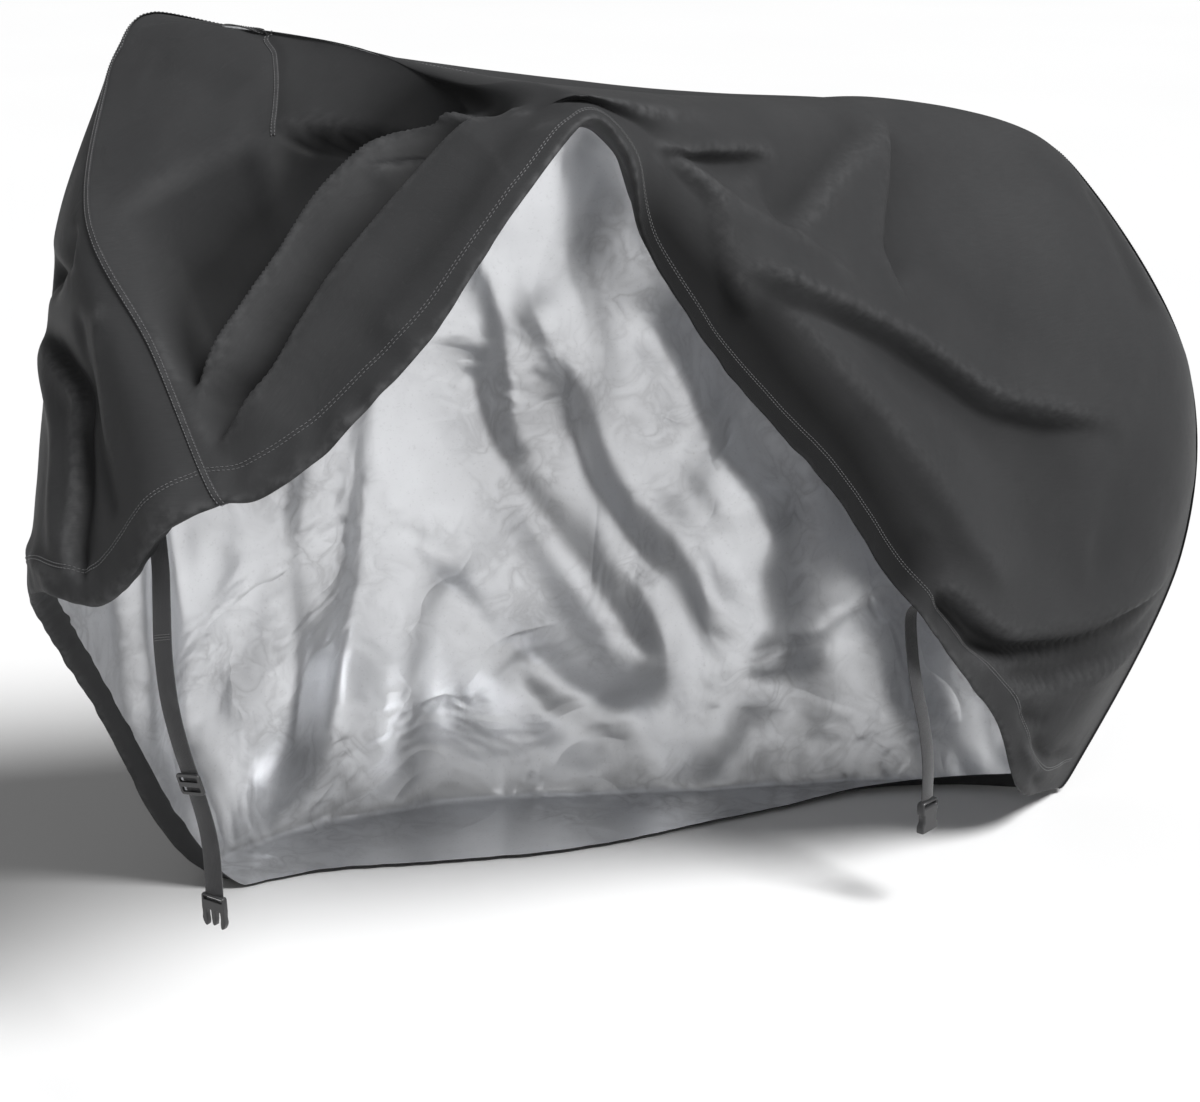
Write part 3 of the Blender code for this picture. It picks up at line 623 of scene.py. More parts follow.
# %% The laps and the folds of the far side
FAR_LAPS = [
    Lap("flap line", [(2.2, .88), (2.35, .81), (2.21, .733), (2.13, .66), (1.95, .602),
        (2.4, .565), (3.3, .525)], 0.007, 0.022, 0.024, 0.007, 0.014),
]
FAR_FOLDS = [
    Fold("front notch", [(3.4, .44), (2.4, .43), (1.5, .415), (.8, .42)], 0.016, 0.016, -0.022,
        1.8),
    Fold("flap ridge", [(3.5, .53), (2.95, .58), (2.55, .65), (2.6, .74), (2.5, .84)], 0.020,
        0.014, 0.009, 1.6),
    Fold("far hang 1", [(6.2, .22), (6.6, .5), (7.0, .84)], 0.040, 0.036, -0.022, 2.0),
    Fold("far hang 2", [(7.6, .20), (7.8, .5), (8.3, .84)], 0.030, 0.038, 0.024, 1.8),
    Fold("far hang 3", [(8.8, .24), (9.0, .5), (9.2, .84)], 0.040, 0.034, -0.024, 2.0),
    Fold("far hang 4", [(10.0, .20), (10.0, .5), (9.9, .84)], 0.030, 0.036, 0.022, 1.8),
    Fold("wall sweep 1", [(10.6, .36), (11.1, .479), (11.6, .56), (12.3, .66), (13.0, .75)],
        0.036, 0.030, -0.024, 1.8),
    Fold("wall sweep 2", [(11.3, .31), (12.0, .42), (12.5, .514), (13.2, .60), (13.8, .72)],
        0.034, 0.030, 0.020, 1.8),
    Fold("wall sweep 3", [(12.5, .33), (13.1, .427), (13.68, .518), (14.2, .62)], 0.030, 0.034,
        -0.018, 1.8),
    Fold("low sweep", [(10.6, .60), (11.3, .69), (12.0, .745), (13.0, .79)], 0.030, 0.034, 0.016,
        1.8),
    Fold("far tail sag", [(16.4, .62), (15.0, .68), (13.8, .74)], 0.030, 0.030, 0.014, 2.0),
]
FAR_CREASES = [
    Fold("front pull 1", [(.7, .52), (1.2, .60), (1.5, .72)], 0.012, 0.014, 0.004, 1.6),
    Fold("front pull 2", [(1.3, .50), (1.6, .58), (1.65, .70), (1.5, .82)], 0.014, 0.012, -0.006,
        1.6),
    Fold("flap foot", [(3.6, .80), (3.0, .84), (2.4, .87)], 0.010, 0.012, 0.006, 1.5),
    Fold("wall crease 1", [(10.9, .30), (11.3, .40), (11.5, .50)], 0.014, 0.020, 0.008, 1.5),
    Fold("wall crease 2", [(11.8, .45), (12.4, .56), (12.9, .64)], 0.014, 0.018, -0.009, 1.5),
    Fold("wall crease 3", [(12.8, .36), (12.9, .45), (12.7, .56)], 0.014, 0.016, 0.008, 1.5),
    Fold("wall crease 4", [(10.2, .55), (10.9, .62), (11.5, .72), (12.0, .80)], 0.016, 0.018,
        -0.009, 1.5),
    Fold("wall crease 5", [(12.6, .60), (13.0, .70), (13.1, .80)], 0.012, 0.016, 0.007, 1.5),
    Fold("band fold", [(9.6, .885), (10.9, .900), (12.2, .915), (13.6, .93)], 0.012, 0.010, 0.006,
        1.5),
    Fold("band dip", [(9.8, .93), (11.0, .945), (12.4, .95), (13.4, .96)], 0.014, 0.012, 0.004,
        1.5),
]
print("far side:", len(FAR_LAPS + FAR_FOLDS), "laps and folds,", len(FAR_CREASES), "creases")


# %% Raise and sink the folds
FADE = 0.14            # share of a fold's path over which it fades in, and out again
ROUND_TOP = 0.002      # how far from its path a plain fold is still rounded, in metres
REACH = 3.0            # how many widths away a fold is still felt
SEAM_HOLD = 0.8, 1.35  # ribs from the ends, and rib points from the top, that the seams hold
WAVES = 16             # waves in a random field
TURNED_IN = HEM_ROW - 6  # from this row on, the cloth is lifted as its wall is
LAP_BAND_FALL, LAP_HOLLOW_FALL = 1.7, 1.5  # how abruptly a lap's two sides fall away


def soft_step(share):
    """0 up to 0, 1 from 1 on, and an S-shaped rise between them."""
    share = np.clip(share, 0.0, 1.0)
    return share * share * (3 - 2 * share)


def lap_height(lap, away, right):
    """A lap's height at these distances from its path."""
    past = soft_step(away / lap.step)
    band = lap.rise * np.exp(-((away / lap.band) ** LAP_BAND_FALL))
    beyond = np.maximum(away - lap.step, 0.0)
    hollow = -lap.drop * np.exp(-((beyond / lap.hollow) ** LAP_HOLLOW_FALL))
    return np.where(right > 0, lap.rise * (1 - past) + hollow * past, band)


def fold_height(fold, away, right):
    """A plain fold's height at these distances from its path."""
    soft = np.sqrt(away**2 + ROUND_TOP**2) - ROUND_TOP
    width = np.where(right > 0, fold.right, fold.left)
    return fold.height * np.exp(-((soft / width) ** fold.sharp))


def fold_lift(grid, normals, sides, folds):
    """How far every point of the cloth rises along its normal, for all of these folds."""
    lift = np.zeros(grid.shape[:2])
    for fold in folds:
        is_lap = isinstance(fold, Lap)
        share = np.linspace(0.0, 1.0, max(16, 8 * len(fold.places)))
        places = smooth_row(np.array(fold.places), share * (len(fold.places) - 1))
        route = point_at(sides, places[:, 0], places[:, 1])
        power = soft_step(np.minimum(share, 1 - share) / FADE)
        width = max(fold.band, fold.hollow) + fold.step if is_lap else max(fold.left, fold.right)
        low, high = route.min(0) - REACH * width, route.max(0) + REACH * width
        close = np.all((grid > low) & (grid < high), axis=2)
        points, facing = grid[close], normals[close]
        best = np.full(len(points), np.inf)
        right, strength = np.zeros(len(points)), np.zeros(len(points))
        for a, b, at_a, at_b in zip(route, route[1:], power, power[1:]):
            run = b - a
            t = np.clip(((points - a) @ run) / max(run @ run, 1e-12), 0.0, 1.0)
            offset = points - (a + t[:, None] * run)
            away = np.linalg.norm(offset, axis=1)
            nearer = away < best
            turned = np.einsum("ij,ij->i", offset, np.cross(run, facing))
            best = np.where(nearer, away, best)
            right = np.where(nearer, turned, right)
            strength = np.where(nearer, at_a + (at_b - at_a) * t, strength)
        lift[close] += strength * (lap_height if is_lap else fold_height)(fold, best, right)
    return lift


def edge_hold():
    """1 over the cloth, falling to 0 at the seams, so that both sides keep one edge."""
    to_end = np.minimum(COLUMNS_AT, COLUMNS_AT[-1] - COLUMNS_AT)
    from_ends = np.clip(to_end / SEAM_HOLD[0], 0.0, 1.0)
    from_top = np.clip(ROWS_AT / SEAM_HOLD[1], 0.0, 1.0)
    return soft_step(from_ends[:, None] * from_top[None, :])


def ripples(points, size, seed, stretch=(1.0, 1.0, 1.0)):
    """A soft random field between about -1 and 1, made of waves of about this size."""
    dice = np.random.default_rng(seed)
    field = np.zeros(points.shape[:-1])
    for _ in range(WAVES):
        way = dice.normal(size=3)
        way = way / np.linalg.norm(way) * dice.uniform(0.7, 1.4) * 2 * math.pi / size
        field += np.sin(points / np.array(stretch) @ way + dice.uniform(0, 2 * math.pi))
    return field / math.sqrt(WAVES)


def calmed(grid, times):
    """The grid with each inner point drawn towards its neighbours' mean, several times."""
    grid = grid.copy()
    for _ in range(times):
        around = grid[:-2, 1:-1] + grid[2:, 1:-1] + grid[1:-1, :-2] + grid[1:-1, 2:]
        grid[1:-1, 1:-1] = grid[1:-1, 1:-1] / 2 + around / 8
    return grid


def lifting_normals(grid, outward, times):
    """Calm directions to lift the cloth in. The turned-in hem moves with its wall."""
    normals = face_normals(calmed(grid, times), outward)
    normals[:, TURNED_IN:] = normals[:, TURNED_IN : TURNED_IN + 1]
    return normals


# %% Dress both sides
SLOW_WAVE, QUICK_WAVE, HEM_WAVE = (0.0022, 0.26), (0.0005, 0.085), (0.0012, 0.040)  # height, size
HANG_WAVE = 0.17          # the size of the far side's loose waves
HEM_WAVY = 0.78, 0.10     # the share down where the hem's waves start, and over which they grow
FOLD_CALM, CREASE_CALM, LAST_CALM = 4, 24, 2  # how often the cloth is calmed for each step
KNOT_AT, KNOT_WIDE = (5.0, 0.22), (1.1, 0.09)  # rib and share down of the knot of folds
KNOT_CALM, KNOT_FULL = 150, 1.4  # how often the knot is calmed, and how fully at its middle


def dress(smooth, sides, folds, creases, outward, seed, loose):
    """The smooth side with its folds, its creases and the unevenness of hand-smoothed cloth.

    Also gives how far each point was lifted.
    """
    hold = edge_hold()
    normals = lifting_normals(smooth, outward, FOLD_CALM)
    main = fold_lift(smooth, normals, sides, folds) * hold
    grid = smooth + normals * main[..., None]
    normals = lifting_normals(grid, outward, CREASE_CALM)
    fine = fold_lift(grid, normals, sides, creases)
    slack = np.interp(DOWN, [0, 0.15, 0.3, 0.8, 1], [0.2, 0.5, 1.0, 1.0, 0.4])[None, :]
    slow = SLOW_WAVE[0] * ripples(grid, SLOW_WAVE[1], seed, (1.6, 1.0, 1.0))
    fine += slack * (slow + QUICK_WAVE[0] * ripples(grid, QUICK_WAVE[1], seed + 1))
    hanging = np.interp(COLUMNS_AT, [5, 8, 15, 16.5], [0, 1, 1, 0])[:, None]
    hanging = hanging * np.interp(DOWN, [0.1, 0.3, 0.8, 0.9], [0, 1, 1, 0])[None, :]
    fine += loose * hanging * ripples(grid, HANG_WAVE, seed + 3, (1.0, 1.0, 1.5))
    hem_near = np.clip((DOWN - HEM_WAVY[0]) / HEM_WAVY[1], 0.0, 1.0)[None, :]
    fine += hem_near * HEM_WAVE[0] * ripples(grid, HEM_WAVE[1], seed + 2)
    grid = calmed(grid + normals * (fine * hold)[..., None], LAST_CALM)
    # The folds that meet near the crown would cut into each other, so they ease off there.
    # This doesn't cure one fault: between ribs 2 and 4, close under the top, the silver
    # inside comes out as a thin line.
    along = np.exp(-(((COLUMNS_AT - KNOT_AT[0]) / KNOT_WIDE[0]) ** 2))[:, None]
    knot = along * np.exp(-(((DOWN - KNOT_AT[1]) / KNOT_WIDE[1]) ** 2))[None, :]
    grid += np.clip(KNOT_FULL * knot, 0.0, 1.0)[..., None] * (calmed(grid, KNOT_CALM) - grid)
    grid[..., 2] = np.maximum(grid[..., 2], FLOOR_CLEAR)
    return grid, main + fine * hold


near_grid, near_lift = dress(
    near_smooth, NEAR_SIDE, NEAR_LAPS + NEAR_FOLDS, NEAR_CREASES, outward=-1.0, seed=11, loose=0.0)
far_grid, far_lift = dress(
    far_smooth, FAR_SIDE, FAR_LAPS + FAR_FOLDS, FAR_CREASES, outward=1.0, seed=41, loose=0.008)
print("folds reach", round(float(np.abs(near_lift).max()), 3), "m")

# %% [markdown]
# ## From a surface to cloth
#
# A sheet with no thickness looks like paper from its edge and exports badly. Each side
# becomes a closed skin: an outer face of charcoal cloth, an inner face with the silver
# coating, and a narrow rim between them. At the seam both sides follow one line and share
# its normals, 0.6 mm apart, and the felled seam covers the slit. The UV map is in metres
# along and down the cloth, which lets a woven pattern follow the folds at its real size.

# %% Share the seam
CLOTH = 0.0014     # thicker than real cloth, so that the sheet has an edge to see
SEAM_GAP = 0.0006  # between the middles of both sides at the seam
CALM = 30          # how often a side is calmed before its outer and inner faces are placed


def units(rows):
    """Each row of vectors at length one."""
    return rows / np.maximum(np.linalg.norm(rows, axis=1, keepdims=True), 1e-9)


def seam_of(grid):
    """The seam edge of a side as one line: up the rear seam, over the top and down the front."""
    return np.concatenate([grid[-1, :0:-1], grid[:, 0][::-1], grid[0, 1:]])


def set_seam(grid, line):
    down = grid.shape[1] - 1
    grid[-1, :0:-1], grid[:, 0], grid[0, 1:] = line[:down], line[down:-down][::-1], line[-down:]


near_normals = face_normals(calmed(near_grid, CALM), -1.0)
far_normals = face_normals(calmed(far_grid, CALM), 1.0)
seam_normals = units(seam_of(near_normals) + seam_of(far_normals))
seam_line = seam_of(far_grid)
seam_across = units(np.cross(np.gradient(seam_line, axis=0), seam_normals))
for grid, normals, side in ((far_grid, far_normals, 0.5), (near_grid, near_normals, -0.5)):
    set_seam(grid, seam_line + seam_across * side * SEAM_GAP)
    set_seam(normals, seam_normals)
print("seam:", round(length_of(seam_line), 2), "m round the front, top and rear")

# %% [markdown]
# ## Charcoal polyester
#
# The outside is a plain-woven polyester with a dull coating: nearly black, a soft sheen at
# grazing angles, fine thread texture, slow blotches where dye and dust differ, and paler
# rubbed lines on the hem and on sharp folds. The hollows are painted darker the deeper they
# lie: painted shade. Both come from the shape itself: each point stores how strongly the
# cloth bends there and how deep it lies, and the shader reads those values.

# %% Groups for creases and for dust
def build_crumple():
    """Small set-in creases, as folded cloth keeps from its bag: a height and a mask."""
    tree, given, out = new_group(
        "crumple",
        [("Place", "Vector", None), ("Scale", "Float", 20.0), ("Sharp", "Float", 0.6)],
        [("Height", "Float"), ("Mask", "Float")],
    )
    wide = noise(tree, given["Place"], given["Scale"], 3.0, Distortion=0.8)
    ridge = sum_of(tree, "ABSOLUTE", sum_of(tree, "SUBTRACT", wide, 0.5))
    ridge = sum_of(tree, "SUBTRACT", 1.0, sum_of(tree, "MULTIPLY", ridge, 4.0))
    ridge = sum_of(tree, "POWER", sum_of(tree, "MAXIMUM", ridge, 0.0), 2.2)
    slow = noise(tree, given["Place"], sum_of(tree, "MULTIPLY", given["Scale"], 0.25), 2.0)
    sharp = sum_of(tree, "MULTIPLY", ridge, rise(tree, slow, 0.42, 0.62))
    sharp = sum_of(tree, "MULTIPLY", sharp, given["Sharp"])
    fill(tree, out, {"Height": sum_of(tree, "ADD", wide, sharp), "Mask": sharp})
    return tree


def build_dust():
    """Slow blotches and fine specks, mixed into any colour and roughness."""
    tree, given, out = new_group(
        "dust",
        [("Place", "Vector", None), ("Colour", "Color", (0.05, 0.05, 0.05, 1.0)),
         ("Dusty", "Color", (0.1, 0.1, 0.1, 1.0)), ("Amount", "Float", 0.3)],
        [("Colour", "Color"), ("Mask", "Float")],
    )
    blotch = rise(tree, noise(tree, given["Place"], 2.6, 5.0, Roughness=0.6), 0.38, 0.68)
    speck = rise(tree, noise(tree, given["Place"], 240.0, 2.0), 0.60, 0.74)
    mask = sum_of(tree, "ADD", blotch, sum_of(tree, "MULTIPLY", speck, 0.5))
    mask = sum_of(tree, "MULTIPLY", mask, given["Amount"])
    fill(tree, out, {"Colour": blend_of(tree, mask, given["Colour"], given["Dusty"]), "Mask": mask})
    return tree


CRUMPLE, DUST = build_crumple(), build_dust()
print("groups:", CRUMPLE.name, "and", DUST.name)

# %% Charcoal polyester and its thread
CHARCOAL, DUSTY = (0.029, 0.0293, 0.0303, 1), (0.041, 0.0413, 0.0423, 1)
RUBBED_PALE = (0.074, 0.0743, 0.0760, 1)
# Painted shade: the deepest hollows keep this share of the charcoal's colour, and dark slubs of
# thread take the same darker colour.
SHADE_AND_SLUB_LEVEL = 0.16  # how much of the charcoal's light the deepest hollows keep


def make_polyester():
    material, tree, shader = new_material(
        "charcoal polyester", Sheen_Weight=0.01, Sheen_Roughness=0.40, Specular_IOR_Level=0.06)
    place = object_place(tree)
    uv = add_node(tree, "ShaderNodeUVMap").outputs[0]
    weave = use_group(tree, PLAIN_WEAVE, {"UV": uv, "Pitch": 0.0007})
    crumple = use_group(tree, CRUMPLE, {"Place": place, "Scale": 14.0, "Sharp": 0.35})
    dust = use_group(tree, DUST, {
        "Place": place, "Colour": CHARCOAL, "Dusty": DUSTY, "Amount": 0.55})
    bend = add_node(tree, "ShaderNodeAttribute", attribute_name="rubbed").outputs["Fac"]
    grain = rise(tree, noise(tree, place, 90.0, 3.0), 0.35, 0.65)
    rub = sum_of(tree, "MULTIPLY", bend, grain)
    worn = blend_of(tree, rub, dust["Colour"], RUBBED_PALE)
    # One darker charcoal: the colour of dark slubs, and the painted shade of the deepest hollows.
    slub_and_shade_colour = tuple(c * SHADE_AND_SLUB_LEVEL for c in CHARCOAL[:3]) + (1,)
    thread = blend_of(tree, sum_of(tree, "MULTIPLY", weave["Slub"], 0.30), worn, slub_and_shade_colour)
    # Painted shade: the base colour darkens towards the darker charcoal by how deep the cloth lies
    # in a hollow.
    painted_shade_amount = add_node(tree, "ShaderNodeAttribute", attribute_name="painted_shade").outputs["Fac"]
    rough = sum_of(tree, "ADD", 0.50, sum_of(tree, "MULTIPLY", dust["Mask"], 0.25))
    soft = bumped(tree, crumple["Height"], 0.0030, 0.28)
    fill(tree, shader, {
        "Base Color": blend_of(tree, sum_of(tree, "MULTIPLY", painted_shade_amount, 0.85), thread, slub_and_shade_colour),
        "Roughness": sum_of(tree, "SUBTRACT", rough, sum_of(tree, "MULTIPLY", rub, 0.08)),
        "Normal": bumped(tree, weave["Height"], 0.00012, 0.35, soft),
    })
    return material


def make_thread():
    material, tree, shader = new_material("sewing thread", Roughness=0.5, Sheen_Weight=0.3)
    fleck = noise(tree, object_place(tree), 700.0, 2.0)
    fill(tree, shader, {
        "Base Color": blend_of(tree, fleck, (0.030, 0.030, 0.032, 1), (0.085, 0.085, 0.088, 1)),
        "Normal": bumped(tree, fleck, 0.0002, 0.6),
    })
    return material


POLYESTER, THREAD = make_polyester(), make_thread()
print("made", POLYESTER.name, "and", THREAD.name)

# %% [markdown]
# ## The silver coating
#
# Inside, a thin coat of aluminium paint keeps rain and sun out. It takes every small crease
# of the cloth, so it flashes bright where it faces the light and goes nearly black in the
# folds. A metallic shader with a medium roughness does that by itself. The crumple group
# gives it its facets, and a faint web of rubbed lines shows where the coat has cracked.

# %% Silver coating
SILVER_CLEAN, SILVER_DUSTY = (0.76, 0.77, 0.79, 1), (0.50, 0.50, 0.51, 1)
SILVER_CRACKED = (0.36, 0.36, 0.37, 1)


def make_silver():
    material, tree, shader = new_material("silver coating", Specular_IOR_Level=0.5)
    place = object_place(tree)
    uv = add_node(tree, "ShaderNodeUVMap").outputs[0]
    weave = use_group(tree, PLAIN_WEAVE, {"UV": uv, "Pitch": 0.0008})
    large = use_group(tree, CRUMPLE, {"Place": place, "Scale": 4.2, "Sharp": 0.12})
    small = use_group(tree, CRUMPLE, {"Place": place, "Scale": 22.0, "Sharp": 0.5})
    dust = use_group(tree, DUST, {
        "Place": place, "Colour": SILVER_CLEAN, "Dusty": SILVER_DUSTY, "Amount": 0.45})
    facets = bumped(tree, large["Height"], 0.030, 0.45)
    creased = bumped(tree, small["Height"], 0.0012, 0.2, facets)
    fill(tree, shader, {
        "Base Color": blend_of(tree, small["Mask"], dust["Colour"], SILVER_CRACKED),
        "Metallic": sum_of(tree, "SUBTRACT", 0.86, sum_of(tree, "MULTIPLY", dust["Mask"], 0.35)),
        "Roughness": sum_of(tree, "ADD", 0.29, sum_of(tree, "MULTIPLY", dust["Mask"], 0.22)),
        "Normal": bumped(tree, weave["Height"], 0.0001, 0.25, creased),
    })
    return material


SILVER = make_silver()
print("made", SILVER.name)

# %% Skin both sides
PAINTED_SHADE_DEPTH = 0.024                   # metres below the smooth side where a hollow is fully dark
BEND_FROM, BEND_WIDE = 14.0, 60.0  # the bend, as 1 / radius, that starts to be rubbed
RUB_MOST, RUB_CALM = 0.6, 5    # how rubbed the sharpest bend is, and how often that is calmed


def bend_of(grid, normals):
    """How sharply the cloth bends outwards at each point: where it gets rubbed."""
    bend = np.zeros(grid.shape[:2])
    for axis in (0, 1):
        ahead, behind = np.roll(grid, -1, axis) - grid, grid - np.roll(grid, 1, axis)
        step = np.linalg.norm(ahead, axis=2) + np.linalg.norm(behind, axis=2)
        bend -= 4 * np.einsum("ijk,ijk->ij", ahead - behind, normals) / np.maximum(step**2, 1e-8)
    bend[[0, -1]], bend[:, [0, -1]] = 0.0, 0.0
    share = np.clip((bend - BEND_FROM) / BEND_WIDE, 0.0, 1.0)
    return calmed(share[..., None], RUB_CALM)[..., 0] * RUB_MOST


def store(mesh, name, values):
    """A number at every point of the mesh, for its material to read."""
    attribute = mesh.attributes.new(name, "FLOAT", "POINT")
    attribute.data.foreach_set("value", np.asarray(values, np.float32))


def run_along(grid, axis):
    """How far along the cloth every point is, in metres, in one direction of the grid."""
    steps = np.cumsum(np.linalg.norm(np.diff(grid, axis=axis), axis=2), axis=axis)
    return np.insert(steps, 0, 0.0, axis=axis)


def skin(name, grid, normals, lift):
    """A closed sheet about the grid: outer face, inner face and rim, with UVs in metres."""
    moved, half = grid - HELD_AT, normals * CLOTH / 2
    points = np.concatenate([(moved + half).reshape(-1, 3), (moved - half).reshape(-1, 3)])
    count = grid.shape[0] * grid.shape[1]
    index = np.arange(count).reshape(grid.shape[:2])
    a, b, c, d = (index[:-1, :-1], index[1:, :-1], index[1:, 1:], index[:-1, 1:])
    # Both faces are cut along the same diagonals, or the thin sheet would cross itself.
    outer = np.concatenate([np.stack(t, -1).reshape(-1, 3) for t in ((a, b, c), (a, c, d))])
    inner = outer[:, ::-1] + count
    rim = np.concatenate([index[:, 0], index[-1, 1:], index[:-1, -1][::-1], index[0, 1:-1][::-1]])
    turned = np.roll(rim, -1)
    across, below = rim + count, turned + count
    wall = [np.stack(t, -1) for t in ((turned, rim, across), (turned, across, below))]
    faces = np.concatenate([outer, inner, *wall])
    middle = outer[len(outer) // 4]
    facing = np.cross(points[middle[1]] - points[middle[0]], points[middle[2]] - points[middle[0]])
    if facing @ normals.reshape(-1, 3)[middle[0]] < 0:
        faces = faces[:, ::-1]
    mesh = bpy.data.meshes.new(name)
    mesh.from_pydata(points.tolist(), [], faces.tolist())
    flat = np.stack([run_along(grid, 0), run_along(grid, 1)], -1).reshape(-1, 2)
    uv = np.tile(flat, (2, 1))[faces.reshape(-1)].reshape(-1).astype(np.float32)
    mesh.uv_layers.new(name="UVMap").data.foreach_set("uv", uv)
    store(mesh, "rubbed", np.tile(bend_of(grid, normals).reshape(-1), 2))
    # Painted shade: how deep each point lies below the smooth side, for the material to darken the
    # hollows.
    store(mesh, "painted_shade", np.tile(np.clip(-lift / PAINTED_SHADE_DEPTH, 0.0, 1.0).reshape(-1), 2))
    for material in (POLYESTER, SILVER):
        mesh.materials.append(material)
    slots = np.zeros(len(faces), np.int32)
    slots[len(outer) : 2 * len(outer)] = 1
    mesh.polygons.foreach_set("material_index", slots)
    mesh.shade_smooth()
    rim_pairs = {tuple(sorted(pair)) for pair in zip(rim.tolist(), turned.tolist())}
    rim_pairs |= {(p + count, q + count) for p, q in rim_pairs}
    for edge in mesh.edges:
        if tuple(sorted(edge.vertices)) in rim_pairs:
            edge.use_edge_sharp = True
    return new_piece(name, mesh)


near_cloth = skin("near_cloth", near_grid, near_normals, near_lift)
far_cloth = skin("far_cloth", far_grid, far_normals, far_lift)
for piece in (near_cloth, far_cloth):
    print(piece.name, len(piece.data.polygons), "triangles")

# %% [markdown]
# ## The felled seam
#
# Where the two sides meet, the raw edges are folded into each other and sewn flat, which
# leaves a narrow raised band with a row of stitches along each edge. It is swept along the
# shared seam line just as the webbing was, on top of the cloth.

# %% Sweep the seam band
SEAM_BAND, DROP_BAND, BAND_THICK = 0.0075, 0.0060, 0.0008
BAND_RUBBED = 0.30  # how rubbed a band is, all along
BAND_STEPS = 420    # points along the felled seam


def line_frames(points, normals):
    """Frames for a band along these points, which lies flat on the cloth."""
    frames = []
    for i, point in enumerate(points):
        ahead = Vector(points[min(i + 1, len(points) - 1)] - points[max(i - 1, 0)]).normalized()
        across = ahead.cross(Vector(normals[i])).normalized()
        frames.append((Vector(point), across, across.cross(ahead).normalized(), ahead))
    return frames


def eased(values, times):
    """The row of values with each replaced by a mean of its neighbours, several times."""
    values = np.array(values, float)
    for _ in range(times):
        values[1:-1] = (values[:-2] + 2 * values[1:-1] + values[2:]) / 4
    return values


def lay_band(name, points, normals, width, cup, clear):
    """A band of the cover's own cloth, laid on the cloth, and its frames."""
    frames = line_frames(points + normals * (CLOTH / 2 + BAND_THICK / 2 + clear), normals)
    outline = band_outline(width, BAND_THICK, cup, 5)
    band = sweep_band(name, frames, outline, POLYESTER)
    store(band.data, "rubbed", np.full(len(band.data.vertices), BAND_RUBBED))
    print(name, "of", len(band.data.polygons), "faces")
    return band, frames


seam_keep = np.linspace(0, len(seam_line) - 1, BAND_STEPS).round().astype(int)
band_line = eased(seam_line[seam_keep], 1) - HELD_AT
band_normals = eased(seam_normals[seam_keep], 4)
band_normals /= np.linalg.norm(band_normals, axis=1, keepdims=True)
felled_seam, band_frames = lay_band(
    "felled_seam", band_line, band_normals, SEAM_BAND, cup=0.0004, clear=0.0004)

# %% [markdown]
# ## The short seam below the crown
#
# The front half of the near side is two widths of cloth. The seam between them comes over
# the top and ends about 0.2 m down, where the first folds start. It is the same flat band,
# a little narrower, laid on the finished cloth: its path is a few places on the side, read
# off the folded surface.

# %% Lay the short seam
DROP_PLACES = [(4.6, .020), (3.1, .085), (2.0, .150), (1.88, .200), (1.87, .260), (1.88, .318)]
DROP_STEPS = 90


def on_cloth(grid, normals, places, steps):
    """Points and directions of the finished cloth, on a path of (rib, share down) places."""
    at = np.linspace(0.0, len(places) - 1.0, steps)
    ribs, shares = smooth_row(np.array(places), at).T
    column, row = np.interp(ribs, COLUMNS_AT, np.arange(len(COLUMNS_AT))), shares * ROWS
    i, j = column.astype(int), row.astype(int)
    a, b = (column - i)[:, None], (row - j)[:, None]
    points, facing = (
        (1 - a) * (1 - b) * rows[i, j] + a * (1 - b) * rows[i + 1, j]
        + (1 - a) * b * rows[i, j + 1] + a * b * rows[i + 1, j + 1]
        for rows in (grid, normals)
    )
    return points - HELD_AT, facing / np.linalg.norm(facing, axis=1, keepdims=True)


drop_line, drop_normals = on_cloth(near_grid, near_normals, DROP_PLACES, DROP_STEPS)
drop_seam, drop_frames = lay_band(
    "drop_seam", drop_line, drop_normals, DROP_BAND, cup=0.0003, clear=0.0002)

# %% [markdown]
# ## Stitches
#
# A stitch is the same small thing hundreds of times, so Geometry Nodes lay them: a line of
# points becomes a curve, the curve becomes evenly spaced points, and each point carries a
# short thick thread turned along the line. The tree ends by making the copies real and
# giving them their material, and the result is kept as a plain mesh.

